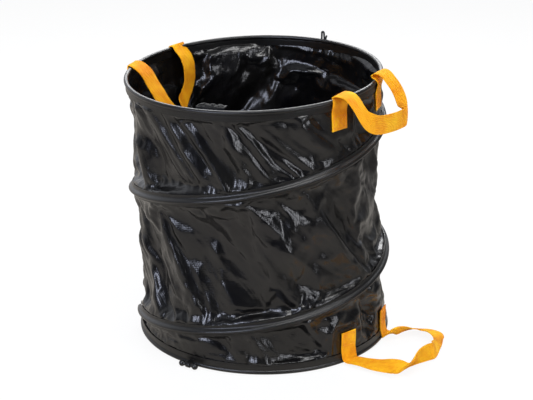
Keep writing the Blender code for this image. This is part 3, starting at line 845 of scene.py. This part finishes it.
def evenly(sections, step):
    """Reads the sections again at equal lengths of about one step along the route."""
    fine = [read_route(sections, index / route_samples) for index in range(route_samples + 1)]
    lengths = [0.0]
    for (first, _), (second, _) in zip(fine, fine[1:]):
        lengths.append(lengths[-1] + (second - first).length)
    count = max(4, round(lengths[-1] / step))
    spaced = []
    index = 0
    for number in range(count):
        wanted = lengths[-1] * number / (count - 1)
        while index < route_samples - 1 and lengths[index + 1] < wanted:
            index += 1
        share = (wanted - lengths[index]) / max(1e-9, lengths[index + 1] - lengths[index])
        spaced.append([low.lerp(high, share) for low, high in zip(fine[index], fine[index + 1])])
    return spaced, lengths[-1]


def strap(name, sections, width, step=2.5 * MM, across=8, crown=0.25 * MM, seed=0.0):
    """A length of webbing along its sections, a little crowned and not quite even."""
    spaced, length = evenly(sections, step)
    last = len(spaced) - 1

    def place(along, share):
        index = round(along * last)
        centre, half = spaced[index]
        normal = half.cross(spaced[min(last, index + 1)][0] - spaced[max(0, index - 1)][0]).normalized()
        side = 2 * share - 1
        ripple = noise.noise(Vector((along * length * strap_ripples, side * 1.2, seed))) * strap_ripple
        return centre + half.normalized() * (width / 2) * side + normal * (crown * (1 - side * side) + ripple)

    piece = flat_cloth(name, last, across, length, width)
    lay(piece, place)
    return piece


def side_frame(matrix, angle, distance, height):
    """X runs clockwise round the hoop, Y points out from the bag's axis and Z is up."""
    side = Matrix((-around(angle), radial(angle), up)).transposed().to_4x4()
    side.translation = radial(angle) * distance + up * height
    return matrix @ side


# A loop's sections: along the span, out from the fold and up from the fold, as
# shares of the loop's size, then the direction of the half width
outer_handle_shares = [
    (1, -0.1, -0.11, 1, 0, 0), (1, -0.15, -0.07, 1, 0, 0),
    (1, -0.05, -0.02, 1, 0, 0), (1, 0.12, -0.01, 1, 0, 0),
    (1, 0.28, -0.02, 1, 0, 0), (1, 0.43, -0.06, 1, 0, 0),
    (1.02, 0.63, -0.17, 1, 0, 0), (1.03, 0.83, -0.34, 1, 0.05, -0.05),
    (0.98, 0.97, -0.52, 0.93, 0.1, -0.33), (0.8, 1.05, -0.69, 0.7, 0.05, -0.7),
    (0.55, 1.09, -0.82, 0.38, 0, -0.92), (0.22, 1.1, -0.91, 0.1, 0, -1),
    (-0.2, 1.1, -0.98, 0, 0, -1), (-0.6, 1.08, -1.03, -0.03, 0, -1),
    (-0.96, 1.04, -1.06, -0.12, 0, -0.99), (-1.03, 0.98, -1, -0.45, 0, -0.88),
    (-0.98, 0.95, -0.84, -0.88, 0, -0.42), (-0.99, 0.88, -0.66, -1, 0, -0.05),
    (-1, 0.76, -0.47, -1, 0, 0), (-1, 0.6, -0.29, -1, 0, 0),
    (-1, 0.41, -0.14, -1, 0, 0), (-1, 0.23, -0.02, -1, 0, 0),
    (-1, 0.05, 0.03, -1, 0, 0), (-1, -0.11, 0.01, -1, 0, 0),
    (-1, -0.2, -0.05, -1, 0, 0), (-1, -0.13, -0.1, -1, 0, 0)]
inner_handle_shares = [
    (-1, -0.15, -0.04, -1, 0, 0), (-1, -0.36, -0.15, -1, 0, 0),
    (-1, -0.52, -0.32, -1, 0, 0), (-1, -0.7, -0.49, -1, 0, -0.05),
    (-0.98, -0.83, -0.66, -0.97, 0, -0.2), (-0.85, -0.92, -0.84, -0.85, 0, -0.5),
    (-0.55, -0.93, -0.98, -0.5, 0, -0.85), (-0.2, -0.83, -1.06, -0.15, 0, -0.98),
    (0.1, -0.65, -1.05, 0.25, 0, -0.95), (0.36, -0.48, -0.99, 0.6, 0, -0.78),
    (0.62, -0.36, -0.92, 0.87, 0, -0.45), (0.88, -0.29, -0.82, 0.97, 0, -0.2),
    (1, -0.3, -0.66, 1, 0, 0), (1, -0.31, -0.5, 1, 0, 0),
    (1, -0.3, -0.35, 1, 0, 0), (1, -0.21, -0.19, 1, 0, 0),
    (1, -0.05, -0.07, 1, 0, 0)]
base_handle_shares = [
    (1, 0.09, 0.06, 1, 0, 0), (1, 0.26, 0.1, 1, 0, -0.03),
    (1, 0.51, 0.16, 0.98, 0, -0.2), (1, 0.76, 0.33, 0.93, 0, -0.38),
    (1.01, 0.93, 0.43, 0.88, -0.15, -0.45), (1.04, 1.05, 0.46, 0.7, -0.55, -0.48),
    (0.9, 1.09, 0.42, 0.3, -0.65, -0.72), (0.67, 1.08, 0.38, 0, -0.62, -0.78),
    (0.39, 1.06, 0.41, -0.05, -0.45, -0.9), (0.09, 1.08, 0.45, -0.05, -0.2, -0.97),
    (-0.21, 1.15, 0.5, -0.1, 0.05, -1), (-0.44, 1.2, 0.49, -0.2, 0.1, -0.97),
    (-0.82, 1.1, 0.38, -0.62, 0.16, -0.77), (-1.14, 1.03, 0.26, -0.8, 0.1, -0.6),
    (-1.39, 0.95, 0.2, -0.92, 0.12, -0.48), (-1.6, 0.86, 0.19, -0.88, 0.33, -0.4),
    (-1.74, 0.72, 0.19, -0.86, 0.4, -0.3), (-1.76, 0.55, 0.16, -0.95, 0.1, -0.3),
    (-1.7, 0.41, 0.16, -0.86, -0.3, -0.4), (-1.62, 0.31, 0.17, -0.79, -0.43, -0.43),
    (-1.47, 0.23, 0.23, -0.68, -0.45, -0.57), (-1.3, 0.18, 0.29, -0.62, -0.38, -0.68),
    (-1.13, 0.14, 0.31, -0.66, -0.22, -0.7), (-1.02, 0.07, 0.2, -0.85, -0.08, -0.5)]

# A tab's route from its foot to its fold: distance from the bag's axis, height, turn to the fold
tab_seat = 4.0 * MM
rim_tab = [(tab_wall_distance, -tab_drop, 0.0), (tab_wall_distance, -tab_drop * 0.7, 0.0),
           (tab_wall_distance, -flange - tab_seat, 0.0), (tab_roll_distance, -sleeve_outer, 0.0)]
outer_tab = rim_tab + [(hoop_radius + 3.3 * MM, sleeve_outer, 0.3)]
inner_tab = rim_tab + [(tab_roll_distance, sleeve_radius / 2, 0.0),
                       (hoop_radius + 3.1 * MM, 4.8 * MM, 0.25),
                       (hoop_radius + webbing_thickness / 2, inner_rise, 0.6),
                       (inner_leg + 1 * MM, inner_rise, 1.0)]
base_tab = [(tab_wall_distance, base_tab_top, 0.0), (tab_wall_distance, base_tab_top * 0.7, 0.0),
            (tab_wall_distance, base_level + flange + tab_seat, 0.0),
            (tab_roll_distance, base_level + sleeve_outer, 0.0),
            (hoop_radius + 7 * MM, base_fold_height + 0.6 * MM, 0.5),
            (base_leg - 2 * MM, base_fold_height, 1.0)]


def tab_sections(matrix, angle, centre_angle, chain, sign):
    """The strap's sections up one tab, turning towards the fold's own direction."""
    sections = []
    for distance, height, turn_share in chain:
        facing = angle + (centre_angle - angle) * turn_share
        half = around(facing) * sign * webbing_width / 2
        sections.append((matrix @ (radial(angle) * distance + up * height), matrix.to_3x3() @ half))
    return sections


def make_handle(handle, rise, tab, shares, size, seed):
    """One strap from foot to foot. It bends where it leaves the bag."""
    name, matrix, centre_angle, span, leg, foot = handle
    lean = math.asin(span / leg)
    fold = side_frame(matrix, centre_angle, math.sqrt(leg ** 2 - span ** 2), rise)
    turn = fold.to_3x3()
    first_side = 1 if shares[0][0] > 0 else -1
    near = tab_sections(matrix, centre_angle - first_side * lean, centre_angle, tab, -first_side)
    far = tab_sections(matrix, centre_angle + first_side * lean, centre_angle, tab, first_side)
    middle = [(fold @ Vector([share * length for share, length in zip(row, size)]),
               turn @ Vector(row[3:]) * webbing_width / 2) for row in shares]
    piece = strap(name + "_strap", near + middle + far[::-1], webbing_width, seed=seed)
    finish_mesh(piece, thickness=webbing_thickness, bevel=0.35 * MM, angle=40)
    coat(piece.data, webbing_finish)
    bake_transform(piece)
    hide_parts(name + "_loop", name + "_tab_front", name + "_tab_rear")


# Stitches: each is one unit long before it is scaled, straight in its middle and thin at its ends
stitch_size = 3.0 * MM
stitch_wide = 0.75 * MM
stitch_pitch = 1.15 * stitch_size
stitch_straight = 0.25
stitch_taper, stitch_dip = 0.55, 0.35
stitch_box_half, stitch_box_tall, stitch_box_margin = 11.5 * MM, 20.0 * MM, 3.0 * MM
stitch_stand = 0.45 * MM


def make_stitch():
    """One stitch of thread: a short rounded dash that dips at both ends."""
    choose()
    bpy.ops.mesh.primitive_cylinder_add(vertices=6, radius=0.5, depth=1.0, end_fill_type="NGON",
                                        rotation=(0, math.pi / 2, 0))
    stitch = bpy.context.object
    bpy.ops.object.transform_apply(location=False, rotation=True, scale=False)
    bpy.ops.object.mode_set(mode="EDIT")
    for cut in (-stitch_straight, stitch_straight):
        bpy.ops.mesh.select_all(action="SELECT")
        bpy.ops.mesh.bisect(plane_co=(cut, 0, 0), plane_no=(1, 0, 0))
    bpy.ops.object.mode_set(mode="OBJECT")
    for vertex in stitch.data.vertices:
        end = ease((abs(vertex.co.x) - stitch_straight) / stitch_straight)
        vertex.co.y *= 1 - stitch_taper * end
        vertex.co.z = vertex.co.z * (1 - stitch_taper * end) - stitch_dip * end
    return stitch


def stitch_lines(lines):
    """Middles and directions of the stitches along a list of straight lines, in the tab's plane."""
    found = []
    for (x0, y0), (x1, y1) in lines:
        count = max(1, round(math.hypot(x1 - x0, y1 - y0) / stitch_pitch))
        for index in range(count):
            share = (index + 0.5) / count
            found.append((x0 + (x1 - x0) * share, y0 + (y1 - y0) * share, math.atan2(y1 - y0, x1 - x0)))
    return found


def sew_tab(handle, end, matrix, angle, low, body, stitch):
    """A box with a cross of stitches on a tab, from one stitch copied along each line."""
    wide, high = stitch_box_half, low + stitch_box_tall
    corners = [(-wide, low), (wide, low), (wide, high), (-wide, high)]
    lines = list(zip(corners, corners[1:] + corners[:1])) + list(zip(corners[:2], corners[2:]))
    copies = []
    outside = tab_wall_distance + webbing_thickness / 2 + stitch_stand
    plane = Matrix((around(angle), up, radial(angle))).transposed().to_4x4()
    scale = Matrix.Diagonal((stitch_size, stitch_wide, stitch_wide, 1.0))
    for across, height, turn in stitch_lines(lines):
        copy = stitch.copy()
        copy.data = stitch.data.copy()
        bpy.context.collection.objects.link(copy)
        plane.translation = radial(angle) * outside + around(angle) * across + up * height
        copy.data.transform(matrix @ plane @ Matrix.Rotation(turn, 4, "Z") @ scale)
        copies.append(copy)
    choose(*copies)
    bpy.ops.object.join()
    piece = bpy.context.object
    piece.name = handle + "_stitches_" + end
    shade_smooth(piece, 60)
    dress(piece, orange_thread, body, "thread", handle + "_stitching_" + end)


# Small fittings
toggle_length = 35.0 * MM
toggle_ball_radius = 5.2 * MM
toggle_bar_radius = 3.0 * MM
toggle_bar_half = 8.0 * MM
toggle_gate = 1.1 * MM
toggle_flat = 0.2 * MM
toggle_fillet = 0.35 * MM
toggle_waist = 0.97
toggle_offset = 13.2 * MM
toggle_level = 5.6 * MM
tether_width = 7.0 * MM
tether_thickness = 1.0 * MM
tether_root_height = 11.2 * MM


def spun(name, outline, matrix, steps=32):
    """Spins a profile of (radius, height) pairs round Z and places it."""
    data = bpy.data.meshes.new(name)
    data.from_pydata([(radius, 0, height) for radius, height in outline],
                     [(index, index + 1) for index in range(len(outline) - 1)], [])
    piece = bpy.data.objects.new(name, data)
    bpy.context.collection.objects.link(piece)
    choose(piece)
    bpy.ops.object.mode_set(mode="EDIT")
    bpy.ops.mesh.select_all(action="SELECT")
    bpy.ops.mesh.spin(steps=steps, angle=2 * math.pi, center=(0, 0, 0), axis=(0, 0, 1))
    weld(piece)
    shade_smooth(piece, 40)
    data.transform(matrix)
    return piece


def toggle_outline():
    """Half of the toggle is a ball with a flat gate mark, a neck with a fillet and a waisted bar."""
    radius, half = toggle_bar_radius, toggle_bar_half
    centre = toggle_length / 2 - toggle_ball_radius
    tip = toggle_length / 2 - toggle_flat
    outline = [(0.0, tip), (toggle_gate, tip)]
    for index in range(3, 14):
        swing = math.pi / 2 - index * math.radians(133) / 13
        outline.append((toggle_ball_radius * math.cos(swing), centre + toggle_ball_radius * math.sin(swing)))
    outline += [(radius + toggle_fillet, half + 0.1 * MM), (radius, half - 0.6 * MM),
                (radius * toggle_waist, half / 2)]
    return outline + [(radius, -height) for radius, height in reversed(outline)]


def make_toggle(end, angle):
    matrix = side_frame(level_matrix, angle, hoop_radius + toggle_offset, toggle_level)
    piece = spun(end + "_toggle_bar", toggle_outline(), matrix @ Matrix.Rotation(math.pi / 2, 4, "Y"))
    dress(piece, plastic_finish, end + "_toggle", "black_plastic", end + "_closure_toggle")


def make_tether(end, angle):
    """A narrow tape from the bottom binding, round the toggle's bar and sewn back to itself."""
    fold = side_frame(level_matrix, angle, hoop_radius, 0.0)
    eye = toggle_bar_radius + 0.3 * MM + tether_thickness / 2
    route = [(2.0 * MM, tether_root_height), (5.0 * MM, tether_root_height - 1.2 * MM)]
    for index in range(13):
        swing = math.radians(125) - math.radians(300) * index / 12
        route.append((toggle_offset + math.cos(swing) * eye, toggle_level + math.sin(swing) * eye))
    half = fold.to_3x3() @ Vector((tether_width / 2, 0, 0))
    placed = [(fold @ Vector((0, out, height)), half) for out, height in route]
    piece = strap(end + "_tether_tape", placed, tether_width, step=1.0 * MM, across=4, crown=0.05 * MM)
    finish_mesh(piece, thickness=tether_thickness * 0.9, bevel=0.2 * MM, angle=45)
    dress(piece, plain_tape_finish, end + "_tether", "binding", end + "_closure_tether")


def tube(name, points, radius):
    """A round cord along its points."""
    data = bpy.data.curves.new(name, "CURVE")
    data.dimensions = "3D"
    data.bevel_depth = radius
    data.bevel_resolution = 3
    data.use_fill_caps = True
    path = data.splines.new("POLY")
    path.points.add(len(points) - 1)
    for target, point in zip(path.points, points):
        target.co = (*point, 1.0)
    piece = bpy.data.objects.new(name, data)
    bpy.context.collection.objects.link(piece)
    choose(piece)
    bpy.ops.object.convert(target="MESH")
    piece = bpy.context.object
    weld(piece)
    shade_smooth(piece, 60)
    return piece


loop_width = 9.0 * MM
loop_length = 20.0 * MM
loop_cord_radius = 1.6 * MM
loop_pinch = 0.72
loop_tail = Vector((7.2 * MM, 0.0, 12.5 * MM))
loop_fold_drop = 4.2 * MM
loop_out, loop_tape_out = 6.0 * MM, 2.9 * MM
loop_tape_top, loop_tape_tall, loop_tape_wide, loop_tape_thick = -4.5 * MM, 8.0 * MM, 16.0 * MM, 2.0 * MM


def make_elastic_loop(end, angle, side):
    """A bight of thick elastic with its legs drawn together, and the cord's cut end beside it."""
    fold = side_frame(rim_matrix, angle, hoop_radius + side * loop_out, -loop_fold_drop)
    fold = fold @ Matrix.Diagonal((1, 1, side, 1))
    leg = loop_width / 2 - loop_cord_radius
    bend = leg * loop_pinch
    straight = loop_length - bend - loop_cord_radius
    points = [Vector((-leg + (leg - bend) * index / 5, 0, straight * index / 5)) for index in range(5)]
    for index in range(25):
        swing = math.pi - index * math.pi / 24
        points.append(Vector((bend * math.cos(swing), 0, straight + bend * math.sin(swing))))
    points += [Vector((-point.x, 0, point.z)) for point in points[4::-1]]
    tail = [Vector((leg * 0.9, 0, 0)).lerp(loop_tail, share) for share in (0.0, 0.3, 0.6, 0.9, 1.0)]
    bight, cut_end = (tube(name, [fold @ point for point in route], loop_cord_radius)
                      for name, route in ((end + "_elastic", points), (end + "_elastic_end", tail)))
    choose(bight, cut_end)
    bpy.ops.object.join()
    dress(bight, cord_finish, end + "_loop", "elastic", end + "_elastic_loop")


def make_loop_tape(end, angle, side):
    """A folded scrap of tape that holds a loop, sewn to the binding."""
    distance = hoop_radius + side * loop_tape_out
    half = rim_matrix.to_3x3() @ (around(angle) * loop_tape_wide / 2)
    heights = [loop_tape_top - loop_tape_tall * share for share in (1.0, 0.5, 0.0)]
    sections = [(rim_matrix @ (radial(angle) * distance + up * height), half) for height in heights]
    piece = strap(end + "_loop_tape", sections, loop_tape_wide, step=1.5 * MM, across=6, crown=0.1 * MM)
    finish_mesh(piece, thickness=loop_tape_thick, bevel=0.6 * MM, angle=50)
    dress(piece, plain_tape_finish, "rim", "binding", end + "_elastic_loop_tab")


label_angle = math.radians(251.0)
label_width = 46.0 * MM
label_length = 20.0 * MM
label_gap = 2.5 * MM
label_crumple, label_crumples = 6.0 * MM, 75


def make_label():
    """A bare cloth tab that leans in over the mouth and is crumpled along its edge."""
    root = hoop_radius - sleeve_outer - label_gap

    def place(along, across):
        side = (2 * along - 1) * label_width / 2
        out = root - ease((across - 0.25) / 0.75) * label_length * 0.95
        height = -sleeve_outer + (ease(across / 0.45) * 2.1 - ease((across - 0.6) / 0.4) * 0.8) * sleeve_outer
        crumple = noise.turbulence(Vector((side * label_crumples, across * 2.2, 2.0)), 3, True)
        height += crumple * label_crumple * ease(across / 0.5)
        return rim_matrix @ (radial(label_angle) * out + around(label_angle) * side + up * height)

    label = flat_cloth("label_cloth", 60, 36, label_width, label_length * 1.35)
    lay(label, place)
    finish_mesh(label, thickness=0.5 * MM, angle=60)
    dress(label, label_finish, "rim", "label", "label_tab")


# The bottom panel: its hem, the bend below it, what its square of sheet has to spare beyond the
# disc, and the swelling of its middle
panel_radius = hoop_radius - sleeve_outer - 0.7 * MM
panel_hem_radius = hoop_radius - 2.4 * MM
panel_hem = 12.0 * MM
panel_turn = 1.5 * MM
panel_floor = 0.4 * MM
panel_swell, panel_swells = 3.5 * MM, 22
panel_rows = 48


def make_panel():
    """The bottom panel: a disc of the sheet with its hem turned up, creased where it was folded."""
    outline = [(panel_hem_radius, base_level + panel_hem), (panel_hem_radius, base_level + 5 * MM),
               (panel_radius, base_level + 1.6 * MM), (panel_radius, 1.2 * MM),
               (panel_radius - panel_turn, panel_floor)]
    last = len(outline) - 1

    def place(along, across):
        angle = along * 2 * math.pi
        row = round(across * panel_rows)
        if row <= last:
            return radial(angle) * outline[row][0] + up * outline[row][1]
        share = (row - last) / (panel_rows - last)
        point = radial(angle) * (panel_radius - panel_turn) * (1 - share)
        swell = noise.turbulence(point * panel_swells + up * 4, 4, True) * panel_swell
        return point + up * (panel_floor + abs(swell) * ease(share * 12))

    panel = flat_cloth("panel_cloth", 288, panel_rows, 2 * math.pi * panel_radius, panel_radius)
    lay(panel, place)
    weld(panel)
    cloth = panel.data.uv_layers[0]
    for corner in panel.data.loops:
        cloth.data[corner.index].uv = panel.data.vertices[corner.vertex_index].co.xy
    finish_mesh(panel, angle=80)
    dress(panel, sheet_finish, "base", "woven_sheet", "bottom_panel")


seam_tape_width = 16.0 * MM
seam_step = 14
seam_tape_margin = 0.01


def make_seam_tape():
    """A strip of the sheet, welded inside the wall along its seam and drawn in with it."""
    def place(along, across):
        angle = seam_step * step_angle + (along - 0.5) * seam_tape_width / hoop_radius
        share = seam_tape_margin + across * (1 - 2 * seam_tape_margin)
        return on_wall(angle, share, -wall_thickness - tape_thickness / 2)

    tape = flat_cloth("seam_tape", 6, 150, seam_tape_width, free_height)
    lay(tape, place)
    finish_mesh(tape, thickness=tape_thickness, angle=60)
    dress(tape, sheet_finish, "base", "woven_sheet", "wall_seam_tape")
    return tape


# The whole bag

press_flat(make_wall(), make_helix_tape(), make_seam_tape(), *make_spring())
make_binding("top_binding", rim_matrix, 0.0, -1, "rim", "top_rim_binding", 0.0)
make_binding("bottom_binding", level_matrix, base_level, 1, "base", "bottom_rim_binding", 4.0)
make_panel()

right_handle, left_handle, bottom_handle = handles
outer_size = (leg_half_span, outer_reach, outer_drop)
inner_size = (leg_half_span, inner_reach, inner_drop)
base_size = (base_side_reach, base_reach, base_lift)
make_handle(right_handle, outer_rise, outer_tab, outer_handle_shares, outer_size, 1.0)
make_handle(left_handle, inner_rise, inner_tab, inner_handle_shares, inner_size, 2.0)
make_handle(bottom_handle, base_fold_height, base_tab, base_handle_shares, base_size, 3.0)

stitch = make_stitch()
for name, matrix, centre, span, leg, foot in handles:
    low = foot + stitch_box_margin if foot < 0 else foot - stitch_box_margin - stitch_box_tall
    for sign in (-1, 1):
        angle = centre + sign * math.asin(span / leg)
        end = "front" if radial(angle).y < radial(centre).y else "rear"
        sew_tab(name, end, matrix, angle, low, "rim" if foot < 0 else "base", stitch)
bpy.data.objects.remove(stitch)

for end, angle, side in (("front", closure_angle + math.pi, -1), ("rear", closure_angle, 1)):
    make_toggle(end, angle)
    make_tether(end, angle)
    make_elastic_loop(end, angle, side)
    make_loop_tape(end, angle, side)
make_label()

for name in ("top_hoop", "bottom_hoop"):
    coat(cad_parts[name + "_wire"].data, steel_finish)
    coat(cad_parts[name + "_sleeve"].data, zinc_finish)


# Camera, lamps and floor

camera = bpy.data.objects.new("camera", bpy.data.cameras.new("camera"))
bpy.context.collection.objects.link(camera)
camera.data.lens = 125.2
camera.data.sensor_width = 36.0
camera.location = (0.0037, -2.8355, 1.3109)
camera.rotation_euler = (math.radians(68.90), 0, 0)
bpy.context.scene.camera = camera


def lamp(name, place, target, size, watts, colour):
    made = bpy.data.objects.new(name, bpy.data.lights.new(name, "AREA"))
    bpy.context.collection.objects.link(made)
    made.data.shape = "RECTANGLE"
    made.data.size, made.data.size_y = size
    made.data.energy = watts
    made.data.color = linear(colour)[:3]
    made.location = place
    made.rotation_euler = (Vector(target) - Vector(place)).to_track_quat("-Z", "Y").to_euler()


lamp("left_softbox", (-1.3, -1.7, 1.3), (0, 0, 0.25), (0.5, 1.4), 34, "#E2E9FF")
lamp("right_softbox", (1.5, -1.5, 1.0), (0, 0, 0.2), (0.4, 1.3), 15, "#F6F8FF")
lamp("top_softbox", (0.3, -0.6, 2.2), (0, 0, 0.2), (1.4, 0.6), 26, "#FFFFFF")
lamp("back_softbox", (0.1, 1.5, 1.3), (0, 0, 0.3), (1.8, 0.5), 28, "#FFFFFF")


def white_where_seen(owner, lit, share, mirrored, tint):
    """Mixes a lit shader with white, by this share, for camera, glossy and transmission rays. The
    camera sees full white, and the others see it as bright as mirrored, with this tint."""
    camera_ray = seen = add(owner, "LightPath", output="Is Camera Ray")
    for other in ("Is Glossy Ray", "Is Transmission Ray"):
        seen = add(owner, "Math", {0: seen, 1: add(owner, "LightPath", output=other)}, operation="MAXIMUM")
    weighed = add(owner, "Math", {0: seen, 1: share}, operation="MULTIPLY")
    brightness = add(owner, "Math", {0: mirrored, 1: camera_ray}, operation="MAXIMUM")
    is_world = isinstance(owner, bpy.types.World)
    colour = add(owner, "Mix", {0: camera_ray, 6: linear(tint), 7: (1, 1, 1, 1)}, output=2, data_type="RGBA")
    white = add(owner, "Background" if is_world else "Emission", {"Color": colour, "Strength": brightness})
    mixed = add(owner, "MixShader", {0: weighed, 1: lit, 2: white})
    end = owner.node_tree.nodes["World Output" if is_world else "Material Output"]
    owner.node_tree.links.new(mixed, end.inputs["Surface"])


def fading_forward(owner, output, far, near, dimmest, brightest):
    """The sweep is pale round the bag and behind it, and the room before it and to its right is dim."""
    place = add(owner, "TexCoord", output=output)
    fades = []
    for axis, start, end, low, high in ((1, far, near, dimmest, brightest), (0, 0.2, 0.75, 1.0, 0.3)):
        along = add(owner, "SeparateXYZ", {0: place}, output=axis)
        inputs = {"Value": along, "From Min": start, "From Max": end, "To Min": low, "To Max": high}
        fades.append(add(owner, "MapRange", inputs))
    return add(owner, "Math", {0: fades[0], 1: fades[1]}, operation="MULTIPLY")


def pale_floor():
    """Painted plywood sweep: matt and near white. The camera and reflections see it as the white of
    the backdrop, darkened only where the bag's shadow falls."""
    def recipe(material):
        return [], speckle(material, 40 * MM), [(0.3, "#EDEDED"), (0.7, "#F2F2F2")], 0.6, 0.7
    floor_finish = new_material("pale_matt_floor", {}, recipe)
    white_where_seen(floor_finish, floor_finish.node_tree.nodes["Principled BSDF"].outputs[0], 0.9,
                     fading_forward(floor_finish, "Object", -2.1, -1.15, 0.03, 0.64), "#FFF6EA")
    return floor_finish


choose()
bpy.ops.mesh.primitive_plane_add(size=12.0, location=(0, 0, -0.0006))
floor = bpy.context.object
floor.name = "floor"
floor.data.materials.append(pale_floor())

world = bpy.data.worlds.new("studio")
world.use_nodes = True
bpy.context.scene.world = world
background = world.node_tree.nodes["Background"]
background.inputs["Color"].default_value = linear("#E4E7EE")
background.inputs["Strength"].default_value = 0.55
white_where_seen(world, background.outputs[0], 1.0,
                 fading_forward(world, "Generated", -0.3, 0.5, 0.04, 1.0), "#F4F7FF")

bpy.context.scene.view_settings.view_transform = "Standard"
